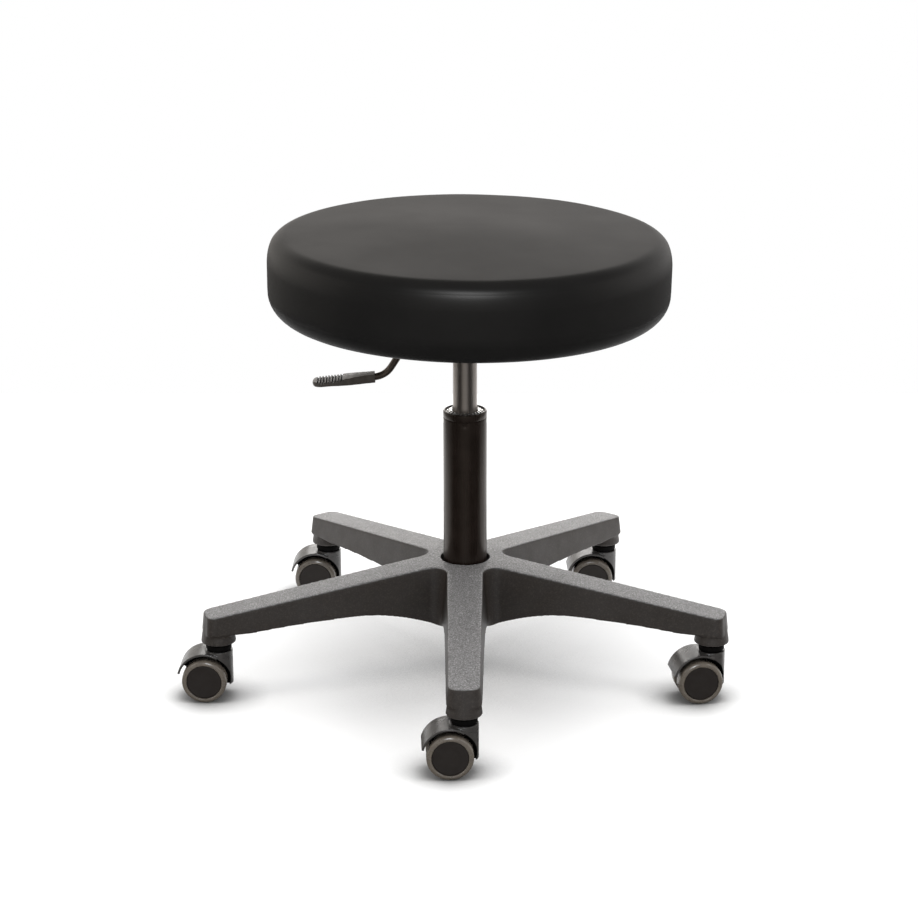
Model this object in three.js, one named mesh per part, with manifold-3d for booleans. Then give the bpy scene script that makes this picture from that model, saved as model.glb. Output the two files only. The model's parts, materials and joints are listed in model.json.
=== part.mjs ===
// Adjustable swivel stool: a round cushion on a gas spring, a five-arm base and twin-wheel casters.
// Millimetres, +Z up. The origin is on the floor on the column's axis, and the front arm points to -Y.
import * as THREE from "three";
import { mergeVertices } from "three/addons/utils/BufferGeometryUtils.js";
import Module from "manifold-3d";

// ---- Driving dimensions ---------------------------------------------------------------------------

const GAP = 0.3; // left between pieces that touch on the real object
const UP = new THREE.Vector3(0, 0, 1);

// Facets round a full turn, for large, middling and small rounds
const LARGE = 40;
const MIDDLE = 24;
const WHEEL = 20;
const SMALL = 16;
const TINY = 12;

// Base
const ARMS = 5;
const STEM_CIRCLE = 293.6; // column axis to caster stem
const HUB_TOP = 136.5;
const HUB_BOTTOM = 65;
const HUB_RADIUS = 44; // where the level hub face ends and the arms start to fall
const HUB_MOUTH = 28; // countersunk mouth round the column
const ARM_TIP_TOP = 103; // height of the arm's top at the stem
const ARM_HALF_AT_HUB = 20.5; // half widths of the arm at the hub's height
const ARM_HALF_AT_TIP = 14;
const ARM_DRAFT = 6.3; // how far each flank leans out from the hub's top to its foot
const ARM_VALLEY_ROUND = 17; // fillet between two arms
// Radius and height along the arched underside, from the hub's foot to the socket
const SOFFIT = [[48, 66], [53, 74], [70, 79.5], [95, 85], [135, 87.5], [200, 84.5], [262, 80]];
const SOCKET_BOTTOM = 67.5;
const SOCKET_RADIUS = 19.9;
const SOCKET_NECK = 17.5;
const BASE_WALL = 4;
const RIB = 3;
const RIB_RADII = [110, 165, 220];

// Casters
const WHEEL_RADIUS = 25.4;
const TRAIL = 15.5; // stem axis to axle
const CASTER_TURNS = [2.5, 9, 2, -1, -2]; // degrees, how each caster happens to stand
const WHEEL_INNER = 6.2; // wheel faces, from the caster's middle plane
const WHEEL_OUTER = 22;
const HUB_DISC = 19.6; // radius of the wheel's hard centre
const HOOD_OUTER = 31.8;
const HOOD_INNER = 28.8;
const HOOD_RISE = 1.5; // the hood's centre stands above the axle
const HOOD_HALF = 17.5;
const WEB_HALF = 5.2;
const PILLAR_RADIUS = 15.6; // upright boss round the stem
const PILLAR_BOTTOM = 18.5;
const PILLAR_TOP = 57;
const NECK_RADIUS = 14.5;
const NECK_TOP = 64.5;
const STEM_PIN = 3.5;
const STEM_SHANK = 5.5;
const AXLE_RADIUS = 3;

// Column
const TUBE_RADIUS = 25;
const TUBE_WALL = 2;
const TUBE_TOP = 314.5;
const TUBE_BOTTOM = 62;
const TUBE_FLOOR = 3;
const CYLINDER_RADIUS = 14;
const CYLINDER_BORE = 12;
const CYLINDER_BOTTOM = 95;
const CYLINDER_TOP = 405;
const TAPER_RADIUS = 13.2; // at the top of the cylinder
const TAPER_START = 318;
const ROD_RADIUS = 5;
const ROD_BOTTOM = 56;
const PISTON_TOP = 280;
const VALVE_RADIUS = 4;
const VALVE_TOP = 411.1;

// Seat
const SEAT_RADIUS = 227.5;
const SEAT_BOTTOM = 427;
const SEAT_TOP = 525;
const SEAT_FLAT = 60; // radius of the flat crown
const BOARD_RADIUS = 205;
const BOARD_THICK = 12;
const VINYL = 1.3;
const PLATE_X = 200;
const PLATE_Y = 180;
const PLATE_THICK = 2.5;
const BOLT_X = 160;
const BOLT_Y = 140;
const DISH_X = 110;
const DISH_Y = 84;
const DISH_FLOOR = 400;
const SOCKET_TUBE_BOTTOM = 376;
const SOCKET_TUBE_TOP = 402;
const SOCKET_TUBE_OUTER = 17.5;

// Lever
const LEVER_RADIUS = 4;
const LEVER_PIVOT = [-42, 415.5]; // x and z
const PIVOT_RADIUS = 2.5;
// The bar's course in x and z from the valve pin to its end in the handle
const LEVER_COURSE = [
  [6, 415.5],
  [-20, 415.5],
  [-42, 415.5],
  [-56, 410.5],
  [-64, 400],
  [-71, 386],
  [-78, 373.5],
  [-87, 360.5],
  [-97, 354.5],
  [-110, 352.6],
  [-122, 351.6],
];
const HANDLE_X = [-102, -172.8];
const HANDLE_Z = [353, 347.5];
const HANDLE_WIDTH = 23; // of the flat outer paddle
const HANDLE_THIN = 6;
const HANDLE_SOCKET = 11.4; // side of the square inner end

// ---- Solids ---------------------------------------------------------------------------------------

const wasm = await Module();
wasm.setup();

// A closed three.js geometry as a manifold-3d solid.
function solid(geometry) {
  const bare = geometry.clone();
  for (const name of Object.keys(bare.attributes)) {
    if (name !== "position") bare.deleteAttribute(name);
  }
  const merged = mergeVertices(bare, 1e-3);
  const corners = merged.index.array;
  const kept = [];
  for (let i = 0; i < corners.length; i += 3) {
    const [a, b, c] = [corners[i], corners[i + 1], corners[i + 2]];
    if (a !== b && b !== c && c !== a) kept.push(a, b, c);
  }
  const vertProperties = new Float32Array(merged.attributes.position.array);
  return new wasm.Manifold(new wasm.Mesh({ numProp: 3, vertProperties, triVerts: new Uint32Array(kept) }));
}

function geometryOf(body) {
  const mesh = body.getMesh();
  const geometry = new THREE.BufferGeometry();
  geometry.setAttribute("position", new THREE.BufferAttribute(new Float32Array(mesh.vertProperties), 3));
  geometry.setIndex(new THREE.BufferAttribute(new Uint32Array(mesh.triVerts), 1));
  geometry.computeVertexNormals();
  return geometry;
}

function joined(bodies) {
  return bodies.reduce((sum, body) => sum.add(body));
}

// A profile of [radius, height] points turned round the Z axis. It runs outwards along the bottom,
// up the outside and back inwards.
function turned(profile, segments) {
  const points = profile.map(([r, z]) => new THREE.Vector2(r, z));
  return solid(new THREE.LatheGeometry(points, segments).rotateX(Math.PI / 2));
}

// A ring with a rectangular section.
function ring(inner, outer, bottom, top, segments) {
  const profile = [[inner, bottom], [outer, bottom], [outer, top], [inner, top], [inner, bottom]];
  return turned(profile, segments);
}

// A round bar along +Z.
function bar(radius, bottom, top, segments) {
  const shape = new THREE.CylinderGeometry(radius, radius, top - bottom, segments);
  return solid(shape.rotateX(Math.PI / 2).translate(0, 0, (top + bottom) / 2));
}

// A round bar along Y.
function crossBar(radius, low, high, x, z, segments) {
  const shape = new THREE.CylinderGeometry(radius, radius, high - low, segments);
  return solid(shape.translate(0, (low + high) / 2, 0).translate(x, 0, z));
}

function block(low, high) {
  const size = high.map((value, i) => value - low[i]);
  const shape = new THREE.BoxGeometry(...size);
  return solid(shape.translate(...low.map((value, i) => value + size[i] / 2)));
}

// A flat outline pulled up along +Z.
function pulled(shape, bottom, top, curveSegments = 6) {
  const options = { depth: top - bottom, bevelEnabled: false, curveSegments };
  return solid(new THREE.ExtrudeGeometry(shape, options).translate(0, 0, bottom));
}

// An outline drawn in the X-Z plane, pulled along Y on both sides of the middle plane.
function pulledAcross(shape, half, curveSegments = 8) {
  const options = { depth: 2 * half, bevelEnabled: false, curveSegments };
  const geometry = new THREE.ExtrudeGeometry(shape, options);
  return solid(geometry.rotateX(Math.PI / 2).translate(0, half, 0));
}

// A closed outline through corner points, each rounded with its own radius.
function roundedOutline(corners) {
  const outline = new THREE.Shape();
  corners.forEach(([x, y, radius], i) => {
    const corner = new THREE.Vector2(x, y);
    const [bx, by] = corners[(i + corners.length - 1) % corners.length];
    const [nx, ny] = corners[(i + 1) % corners.length];
    const back = new THREE.Vector2(bx, by).sub(corner).normalize();
    const ahead = new THREE.Vector2(nx, ny).sub(corner).normalize();
    const half = Math.acos(back.dot(ahead)) / 2;
    const reach = radius / Math.tan(half);
    const start = back.clone().multiplyScalar(reach).add(corner);
    const end = ahead.clone().multiplyScalar(reach).add(corner);
    const centre = back.add(ahead).normalize().multiplyScalar(radius / Math.sin(half)).add(corner);
    const from = Math.atan2(start.y - centre.y, start.x - centre.x);
    const to = Math.atan2(end.y - centre.y, end.x - centre.x);
    const leftTurn = Math.sin(to - from) > 0;
    outline.absarc(centre.x, centre.y, radius, from, to, !leftTurn);
  });
  outline.closePath();
  return outline;
}

function material(color, roughness, metalness) {
  return new THREE.MeshStandardMaterial({ color, roughness, metalness, flatShading: true });
}

const finishes = {
  vinyl: material(0x1b1b1c, 0.45, 0),
  cloth: material(0x161616, 0.95, 0),
  plywood: material(0xb08a5a, 0.7, 0),
  nylon: material(0x3b3a39, 0.65, 0),
  casterPlastic: material(0x2b2b2d, 0.4, 0),
  capPlastic: material(0x2a2624, 0.6, 0),
  tread: material(0x776f64, 0.5, 0),
  columnPaint: material(0x2a2321, 0.35, 0.3),
  platePaint: material(0x1c1c1d, 0.5, 0.3),
  steel: material(0x9a9690, 0.3, 1),
  zinc: material(0xa9a9a6, 0.35, 1),
  acetal: material(0xe4e2dc, 0.4, 0),
  rubber: material(0x141414, 0.85, 0),
};

const stool = new THREE.Group();

function place(name, body, finish, group = stool) {
  const mesh = new THREE.Mesh(geometryOf(body), finishes[finish]);
  mesh.name = name;
  group.add(mesh);
}

// ---- Base -----------------------------------------------------------------------------------------

function armAngle(i) {
  return -Math.PI / 2 + (i * 2 * Math.PI) / ARMS;
}

// The star seen from above. inset shrinks it by the wall's thickness.
function star(inset) {
  const hubHalf = ARM_HALF_AT_HUB - inset;
  const tipHalf = ARM_HALF_AT_TIP - inset;
  const tip = STEM_CIRCLE + tipHalf;
  const halfStep = Math.PI / ARMS;
  const slope = (hubHalf - tipHalf) / (tip - HUB_RADIUS);
  // Where the flanks of two neighbouring arms meet, on the line midway between them.
  const atAxis = hubHalf + slope * HUB_RADIUS;
  const valley = atAxis / (Math.sin(halfStep) + slope * Math.cos(halfStep));
  const corners = [];
  for (let i = 0; i < ARMS; i++) {
    const angle = armAngle(i);
    const along = new THREE.Vector2(Math.cos(angle), Math.sin(angle));
    const across = new THREE.Vector2(-along.y, along.x);
    for (const side of [-1, 1]) {
      const corner = along.clone().multiplyScalar(tip).addScaledVector(across, side * tipHalf);
      corners.push([corner.x, corner.y, tipHalf - 0.2]);
    }
    const between = angle + halfStep;
    corners.push([valley * Math.cos(between), valley * Math.sin(between), ARM_VALLEY_ROUND + inset]);
  }
  return roundedOutline(corners);
}

// The star pulled up with its flanks leaning out towards the foot.
function starBody(inset, bottom, top) {
  const options = {
    depth: GAP,
    bevelThickness: top - bottom,
    bevelSize: ARM_DRAFT,
    bevelSegments: 1,
    curveSegments: 4,
  };
  return solid(new THREE.ExtrudeGeometry(star(inset), options).translate(0, 0, bottom));
}

// Height of the arm's top face at a distance from the column's axis.
function armTop(radius) {
  const fall = (HUB_TOP - ARM_TIP_TOP) / (STEM_CIRCLE - HUB_RADIUS);
  return HUB_TOP - fall * (radius - HUB_RADIUS);
}

// Everything between the arched soffit and the falling top face, lowered by drop.
function envelope(drop, floor) {
  const far = STEM_CIRCLE + 2 * SOCKET_RADIUS;
  const profile = [
    [0, floor],
    [far, floor],
    [far, armTop(far) - drop],
    [HUB_RADIUS, HUB_TOP - drop],
    [0, HUB_TOP - drop],
  ];
  return turned(profile, 6 * ARMS);
}

// The space under the arms, outside the hub's foot.
function archCut() {
  const low = HUB_BOTTOM - 10;
  const far = STEM_CIRCLE + 2 * SOCKET_RADIUS;
  const [hubFoot] = SOFFIT[0];
  const [, socketEnd] = SOFFIT.at(-1);
  const underside = SOFFIT.toReversed();
  const profile = [[hubFoot, low], [far, low], [far, socketEnd], ...underside, [hubFoot, low]];
  return turned(profile, 6 * ARMS);
}

function atStem(body, i) {
  const angle = armAngle(i);
  return body.translate([STEM_CIRCLE * Math.cos(angle), STEM_CIRCLE * Math.sin(angle), 0]);
}

function base() {
  const outside = starBody(0, HUB_BOTTOM, HUB_TOP)
    .intersect(envelope(0, HUB_BOTTOM))
    .subtract(archCut());
  const socketOutside = turned(
    [
      [0, SOCKET_BOTTOM],
      [SOCKET_RADIUS - 1, SOCKET_BOTTOM],
      [SOCKET_RADIUS, SOCKET_BOTTOM + 1],
      [SOCKET_NECK, ARM_TIP_TOP - 8],
      [0, ARM_TIP_TOP - 8],
    ],
    MIDDLE,
  );
  const hollow = starBody(BASE_WALL, HUB_BOTTOM, HUB_TOP).intersect(envelope(BASE_WALL, HUB_BOTTOM - 2));
  const keep = [bar(TUBE_RADIUS + 9, HUB_BOTTOM - 5, HUB_TOP, MIDDLE)];
  for (let i = 0; i < ARMS; i++) {
    keep.push(atStem(bar(SOCKET_RADIUS, HUB_BOTTOM - 5, HUB_TOP, SMALL), i));
    for (const radius of RIB_RADII) {
      const rib = block([radius - RIB / 2, -40, HUB_BOTTOM - 5], [radius + RIB / 2, 40, HUB_TOP]);
      keep.push(rib.rotate([0, 0, THREE.MathUtils.radToDeg(armAngle(i))]));
    }
  }
  let body = outside.subtract(hollow.subtract(joined(keep)));
  const socketBore = bar(STEM_SHANK + GAP, HUB_BOTTOM, ARM_TIP_TOP - 9, SMALL);
  for (let i = 0; i < ARMS; i++) {
    body = body.add(atStem(socketOutside, i)).subtract(atStem(socketBore, i));
  }
  const mouth = turned(
    [
      [0, HUB_BOTTOM - 5],
      [TUBE_RADIUS + GAP, HUB_BOTTOM - 5],
      [TUBE_RADIUS + GAP, HUB_TOP - 8],
      [HUB_MOUTH, HUB_TOP - 4],
      [HUB_MOUTH, HUB_TOP + 1],
      [0, HUB_TOP + 1],
    ],
    LARGE,
  );
  return body.subtract(mouth);
}

// ---- Casters --------------------------------------------------------------------------------------

// Caster pieces are drawn with the stem on the Z axis and the wheels trailing towards -X.

// The mudguard over both wheels, from its trailing lip to the pillar.
function hoodOutline() {
  const lip = THREE.MathUtils.degToRad(166);
  const root = THREE.MathUtils.degToRad(60);
  const centreZ = WHEEL_RADIUS + HOOD_RISE;
  const outline = new THREE.Shape();
  outline.absarc(-TRAIL, centreZ, HOOD_INNER, lip, root, true);
  outline.absarc(-TRAIL, centreZ, HOOD_OUTER, root, lip, false);
  outline.closePath();
  return outline;
}

// The middle web between the wheels, with the boss round the axle.
function webOutline() {
  const boss = 9;
  const back = THREE.MathUtils.degToRad(150);
  const outline = new THREE.Shape();
  outline.absarc(-TRAIL, WHEEL_RADIUS, HOOD_INNER + HOOD_RISE, back, 0, true);
  outline.absarc(-TRAIL, WHEEL_RADIUS, boss, 0, back, true);
  outline.closePath();
  return outline;
}

function casterHousing() {
  const hood = pulledAcross(hoodOutline(), HOOD_HALF, 6);
  const web = pulledAcross(webOutline(), WEB_HALF, 6);
  const pillar = bar(PILLAR_RADIUS, PILLAR_BOTTOM, PILLAR_TOP, MIDDLE);
  const neck = bar(NECK_RADIUS, PILLAR_TOP - 1, NECK_TOP, SMALL);
  const room = HOOD_INNER - 0.8;
  const reach = WHEEL_OUTER;
  const rightRoom = crossBar(room, -reach, -WEB_HALF, -TRAIL, WHEEL_RADIUS + 1, WHEEL);
  const leftRoom = crossBar(room, WEB_HALF, reach, -TRAIL, WHEEL_RADIUS + 1, WHEEL);
  const pinBore = bar(STEM_PIN + GAP, PILLAR_TOP - 15, NECK_TOP + 1, TINY);
  const axleBore = crossBar(AXLE_RADIUS + GAP, -reach, reach, -TRAIL, WHEEL_RADIUS, TINY);
  const cuts = joined([rightRoom, leftRoom, pinBore, axleBore]);
  return joined([hood, web, pillar, neck]).subtract(cuts);
}

function casterStem() {
  const collar = 8.5;
  const shankTop = ARM_TIP_TOP - 10;
  const grip = shankTop - 6;
  const profile = [
    [0, PILLAR_TOP - 14.5],
    [STEM_PIN, PILLAR_TOP - 14.5],
    [STEM_PIN, NECK_TOP + GAP],
    [collar, NECK_TOP + GAP],
    [collar, SOCKET_BOTTOM - GAP],
    [STEM_SHANK - 0.4, SOCKET_BOTTOM - GAP],
    [STEM_SHANK - 0.4, grip],
    [STEM_SHANK, grip + 1],
    [STEM_SHANK, grip + 3],
    [STEM_SHANK - 1.2, shankTop],
    [0, shankTop],
  ];
  return turned(profile, TINY);
}

// Wheel pieces are turned round their own axis and then laid along Y, with height 0 on the middle plane.
function onAxle(body, side) {
  return body.rotate([side * -90, 0, 0]).translate([-TRAIL, 0, WHEEL_RADIUS]);
}

function wheelHub(side) {
  const bore = AXLE_RADIUS + GAP;
  const profile = [
    [bore, WHEEL_INNER],
    [HUB_DISC, WHEEL_INNER],
    [HUB_DISC, WHEEL_OUTER - 1.2],
    [0, WHEEL_OUTER - 1.2],
    [0, WHEEL_OUTER - 4],
    [bore, WHEEL_OUTER - 4],
    [bore, WHEEL_INNER],
  ];
  return onAxle(turned(profile, SMALL), side);
}

function wheelTread(side) {
  const inner = HUB_DISC + GAP;
  const shoulder = 3.2;
  const profile = [
    [inner, WHEEL_INNER],
    [WHEEL_RADIUS - 1, WHEEL_INNER],
    [WHEEL_RADIUS, WHEEL_INNER + 1],
    [WHEEL_RADIUS, WHEEL_OUTER - 2 * shoulder],
    [WHEEL_RADIUS - shoulder, WHEEL_OUTER - 0.4],
    [inner, WHEEL_OUTER],
    [inner, WHEEL_INNER],
  ];
  return onAxle(turned(profile, WHEEL), side);
}

function casterAxle() {
  const half = WHEEL_OUTER - 4.5;
  return crossBar(AXLE_RADIUS, -half, half, -TRAIL, WHEEL_RADIUS, TINY);
}

function placeCasters() {
  for (let i = 0; i < ARMS; i++) {
    const name = `caster_${i + 1}`;
    const caster = new THREE.Group();
    const angle = armAngle(i);
    caster.position.set(STEM_CIRCLE * Math.cos(angle), STEM_CIRCLE * Math.sin(angle), 0);
    caster.rotateOnAxis(UP, THREE.MathUtils.degToRad(CASTER_TURNS[i]));
    stool.add(caster);
    place(`${name}_housing`, casterHousing(), "casterPlastic", caster);
    place(`${name}_stem`, casterStem(), "zinc", caster);
    place(`${name}_axle`, casterAxle(), "zinc", caster);
    for (const [label, side] of [["left", 1], ["right", -1]]) {
      place(`${name}_${label}_hub`, wheelHub(side), "capPlastic", caster);
      place(`${name}_${label}_tread`, wheelTread(side), "tread", caster);
    }
  }
}

// ---- Column ---------------------------------------------------------------------------------------

function outerTube() {
  const inner = TUBE_RADIUS - TUBE_WALL;
  const profile = [
    [ROD_RADIUS + 1.5, TUBE_BOTTOM],
    [TUBE_RADIUS, TUBE_BOTTOM],
    [TUBE_RADIUS, TUBE_TOP - 2.5],
    [TUBE_RADIUS - 2.5, TUBE_TOP],
    [TUBE_RADIUS - 4, TUBE_TOP],
    [TUBE_RADIUS - 4, TUBE_TOP - 2.4],
    [inner, TUBE_TOP - 2.4],
    [inner, TUBE_BOTTOM + TUBE_FLOOR],
    [ROD_RADIUS + 1.5, TUBE_BOTTOM + TUBE_FLOOR],
    [ROD_RADIUS + 1.5, TUBE_BOTTOM],
  ];
  return turned(profile, LARGE);
}

function guideBushing() {
  const outer = TUBE_RADIUS - TUBE_WALL - GAP;
  const inner = CYLINDER_RADIUS + GAP;
  const profile = [
    [inner, TUBE_TOP - 75],
    [outer, TUBE_TOP - 75],
    [outer, TUBE_TOP - 2.8],
    [TUBE_RADIUS - 4 - GAP, TUBE_TOP - 2.8],
    [TUBE_RADIUS - 4 - GAP, TUBE_TOP + 0.8],
    [inner + 3, TUBE_TOP + 1.6],
    [inner, TUBE_TOP + 0.6],
    [inner, TUBE_TOP - 75],
  ];
  return turned(profile, MIDDLE);
}

const WASHER_LOW = TUBE_BOTTOM + TUBE_FLOOR + GAP;
const CAGE_LOW = WASHER_LOW + 1.5 + GAP;
const WASHER_HIGH = CAGE_LOW + 3 + GAP;
const STOP_LOW = WASHER_HIGH + 1.5 + GAP;

function thrustWasher(bottom) {
  return ring(ROD_RADIUS + GAP, 11, bottom, bottom + 1.5, WHEEL);
}

// A ball cage with the balls bulging from both faces of a thinner ring.
function ballCage() {
  const balls = 8;
  const pitch = 8.2;
  const middle = CAGE_LOW + 1.5;
  const pieces = [ring(ROD_RADIUS + GAP, 10.8, middle - 0.8, middle + 0.8, WHEEL)];
  for (let i = 0; i < balls; i++) {
    const angle = (i * 2 * Math.PI) / balls;
    const ball = new THREE.SphereGeometry(1.5, 6, 5);
    pieces.push(solid(ball.translate(pitch * Math.cos(angle), pitch * Math.sin(angle), middle)));
  }
  return joined(pieces);
}

// The rod stands on the upper washer by its shoulder and is held from below by the clip.
function pistonRod() {
  const shoulder = STOP_LOW;
  const profile = [
    [0, ROD_BOTTOM],
    [ROD_RADIUS - 1, ROD_BOTTOM],
    [ROD_RADIUS - 0.1, ROD_BOTTOM + 1],
    [ROD_RADIUS - 0.1, TUBE_BOTTOM - 3],
    [ROD_RADIUS - 1.2, TUBE_BOTTOM - 3],
    [ROD_RADIUS - 1.2, TUBE_BOTTOM - GAP],
    [ROD_RADIUS - 0.1, TUBE_BOTTOM - GAP],
    [ROD_RADIUS - 0.1, shoulder],
    [ROD_RADIUS + 1, shoulder],
    [ROD_RADIUS + 1, shoulder + 2],
    [ROD_RADIUS, shoulder + 2.5],
    [ROD_RADIUS, PISTON_TOP - 14],
    [ROD_RADIUS - 1.5, PISTON_TOP - 14],
    [ROD_RADIUS - 1.5, PISTON_TOP],
    [0, PISTON_TOP],
  ];
  return turned(profile, SMALL);
}

// An open clip that snaps in the rod's groove.
function rodClip() {
  const low = TUBE_BOTTOM - 3 + GAP;
  const whole = ring(ROD_RADIUS - 1.2 + GAP, 9, low, low + 1.6, SMALL);
  return whole.subtract(block([0, -2.5, low - 1], [12, 2.5, low + 3]));
}

function bumpStop() {
  const low = STOP_LOW + 2.5 + GAP;
  const inner = ROD_RADIUS + GAP;
  const profile = [
    [inner, low],
    [10, low],
    [10.6, low + 6],
    [9, low + 13],
    [inner, low + 13],
    [inner, low],
  ];
  return turned(profile, WHEEL);
}

function piston() {
  const outer = CYLINDER_BORE - 0.3;
  const inner = ROD_RADIUS - 1.5 + GAP;
  const low = PISTON_TOP - 13.5;
  const profile = [
    [inner, low],
    [outer, low],
    [outer, low + 4],
    [outer - 1.2, low + 4],
    [outer - 1.2, low + 7],
    [outer, low + 7],
    [outer, PISTON_TOP - 1],
    [inner, PISTON_TOP - 1],
    [inner, low],
  ];
  return turned(profile, WHEEL);
}

function rodSealGuide() {
  return ring(ROD_RADIUS + GAP, CYLINDER_BORE - GAP, CYLINDER_BOTTOM + 1, CYLINDER_BOTTOM + 24, WHEEL);
}

function taperAt(z) {
  return THREE.MathUtils.mapLinear(z, TAPER_START, CYLINDER_TOP, CYLINDER_RADIUS, TAPER_RADIUS);
}

function pressureCylinder() {
  const boreTop = PISTON_TOP + 12;
  const valveWell = CYLINDER_TOP - 20;
  const profile = [
    [CYLINDER_BORE, CYLINDER_BOTTOM],
    [CYLINDER_RADIUS, CYLINDER_BOTTOM],
    [CYLINDER_RADIUS, TAPER_START],
    [TAPER_RADIUS, CYLINDER_TOP],
    [VALVE_RADIUS + GAP, CYLINDER_TOP],
    [VALVE_RADIUS + GAP, valveWell],
    [0, valveWell],
    [0, boreTop],
    [CYLINDER_BORE, boreTop],
    [CYLINDER_BORE, CYLINDER_BOTTOM],
  ];
  return turned(profile, MIDDLE);
}

function valvePin() {
  const profile = [
    [0, CYLINDER_TOP - 14],
    [VALVE_RADIUS, CYLINDER_TOP - 14],
    [VALVE_RADIUS, VALVE_TOP - 1],
    [VALVE_RADIUS - 1, VALVE_TOP],
    [0, VALVE_TOP],
  ];
  return turned(profile, TINY);
}

// ---- Seat -----------------------------------------------------------------------------------------

const BOARD_BOTTOM = SEAT_BOTTOM + VINYL + GAP;
const COVER_TOP = SEAT_BOTTOM - GAP;
const COVER_BOTTOM = COVER_TOP - 0.8;
const FLANGE_TOP = COVER_BOTTOM - GAP;
const FLANGE_BOTTOM = FLANGE_TOP - PLATE_THICK;

// Points of a quarter round from one corner of the section to the next.
function quarter(centreR, centreZ, radius, fromDegrees, steps) {
  const points = [];
  for (let i = 0; i <= steps; i++) {
    const angle = THREE.MathUtils.degToRad(fromDegrees + (90 * i) / steps);
    points.push([centreR + radius * Math.cos(angle), centreZ + radius * Math.sin(angle)]);
  }
  return points;
}

function seatCushion() {
  const lowRound = 24;
  const highRound = 30;
  const crown = 3;
  const lipInner = BOARD_RADIUS - 20;
  const roofZ = BOARD_BOTTOM + BOARD_THICK + GAP;
  const profile = [
    [lipInner, SEAT_BOTTOM],
    ...quarter(SEAT_RADIUS - lowRound, SEAT_BOTTOM + lowRound, lowRound, -90, 3),
    ...quarter(SEAT_RADIUS - highRound, SEAT_TOP - crown - highRound, highRound, 0, 4),
    [SEAT_FLAT, SEAT_TOP],
    [0, SEAT_TOP],
    [0, roofZ],
    [BOARD_RADIUS + GAP, roofZ],
    [BOARD_RADIUS + GAP, SEAT_BOTTOM + VINYL],
    [lipInner, SEAT_BOTTOM + VINYL],
    [lipInner, SEAT_BOTTOM],
  ];
  return turned(profile, LARGE);
}

function boltPlaces() {
  const places = [];
  for (const x of [-BOLT_X / 2, BOLT_X / 2]) {
    for (const y of [-BOLT_Y / 2, BOLT_Y / 2]) places.push([x, y, 0]);
  }
  return places;
}

function seatBoard() {
  const boltHole = bar(4 + GAP, BOARD_BOTTOM - 1, BOARD_BOTTOM + BOARD_THICK - 1, TINY);
  const disc = bar(BOARD_RADIUS, BOARD_BOTTOM, BOARD_BOTTOM + BOARD_THICK, LARGE);
  return boltPlaces().reduce((body, at) => body.subtract(boltHole.translate(at)), disc);
}

function dustCover() {
  const boltHole = bar(5, COVER_BOTTOM - 1, COVER_TOP + 1, TINY);
  const disc = bar(BOARD_RADIUS - 5, COVER_BOTTOM, COVER_TOP, LARGE);
  return boltPlaces().reduce((body, at) => body.subtract(boltHole.translate(at)), disc);
}

function boxOutline(width, depth, radius) {
  const [x, y] = [width / 2, depth / 2];
  return roundedOutline([[x, -y, radius], [x, y, radius], [-x, y, radius], [-x, -y, radius]]);
}

// A pressed dish with a flange all round, a hole for the socket, two ears for the pivot and a slot
// in its side where the lever comes out.
function mountingPlate() {
  const wall = PLATE_THICK;
  const flange = pulled(boxOutline(PLATE_X, PLATE_Y, 18), FLANGE_BOTTOM, FLANGE_TOP, 3);
  const dish = pulled(boxOutline(DISH_X, DISH_Y, 14), DISH_FLOOR, FLANGE_TOP - 0.5, 3);
  const insideOutline = boxOutline(DISH_X - 2 * wall, DISH_Y - 2 * wall, 12);
  const inside = pulled(insideOutline, DISH_FLOOR + wall, FLANGE_TOP + 1, 3);
  const socketHole = bar(SOCKET_TUBE_OUTER + GAP, DISH_FLOOR - 1, DISH_FLOOR + wall + 1, SMALL);
  const slot = block([-DISH_X, -9, DISH_FLOOR + wall], [-DISH_X / 4, 9, FLANGE_BOTTOM - 1.5]);
  const [pivotX, pivotZ] = LEVER_PIVOT;
  let body = flange.add(dish).subtract(inside).subtract(socketHole).subtract(slot);
  for (const side of [-1, 1]) {
    const near = side * 8;
    const far = side * 10.5;
    const ear = block(
      [pivotX - 6, Math.min(near, far), DISH_FLOOR + 1],
      [pivotX + 6, Math.max(near, far), pivotZ + 5],
    );
    body = body.add(ear);
  }
  const pivotHole = crossBar(PIVOT_RADIUS + GAP, -15, 15, pivotX, pivotZ, TINY);
  const boltHole = bar(4 + GAP, FLANGE_BOTTOM - 1, FLANGE_TOP + 1, TINY);
  return boltPlaces().reduce((rest, at) => rest.subtract(boltHole.translate(at)), body.subtract(pivotHole));
}

function taperSocket() {
  const profile = [
    [taperAt(SOCKET_TUBE_BOTTOM) + GAP, SOCKET_TUBE_BOTTOM],
    [SOCKET_TUBE_OUTER, SOCKET_TUBE_BOTTOM],
    [SOCKET_TUBE_OUTER, SOCKET_TUBE_TOP],
    [taperAt(SOCKET_TUBE_TOP) + GAP, SOCKET_TUBE_TOP],
    [taperAt(SOCKET_TUBE_BOTTOM) + GAP, SOCKET_TUBE_BOTTOM],
  ];
  return turned(profile, MIDDLE);
}

// A hexagon-head bolt whose head bears on the plate from below.
function seatBolt() {
  const headTop = FLANGE_BOTTOM - GAP;
  const head = bar(6.5, headTop - 5, headTop, 6);
  const washer = bar(8, headTop - 1.2, headTop, TINY);
  const shank = bar(4, headTop - 1, BOARD_BOTTOM + BOARD_THICK - 2, 8);
  return joined([head, washer, shank]);
}

// ---- Lever ----------------------------------------------------------------------------------------

// The bent bar itself, from over the valve pin to its end inside the handle.
function leverBar(radius) {
  const section = new THREE.Shape().absarc(0, 0, radius, 0, 2 * Math.PI, false);
  const course = LEVER_COURSE.map(([x, z]) => new THREE.Vector3(x, 0, z));
  const extrudePath = new THREE.CatmullRomCurve3(course, false, "centripetal");
  const options = { extrudePath, steps: 26, curveSegments: 5, bevelEnabled: false };
  return solid(new THREE.ExtrudeGeometry(section, options));
}

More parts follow.
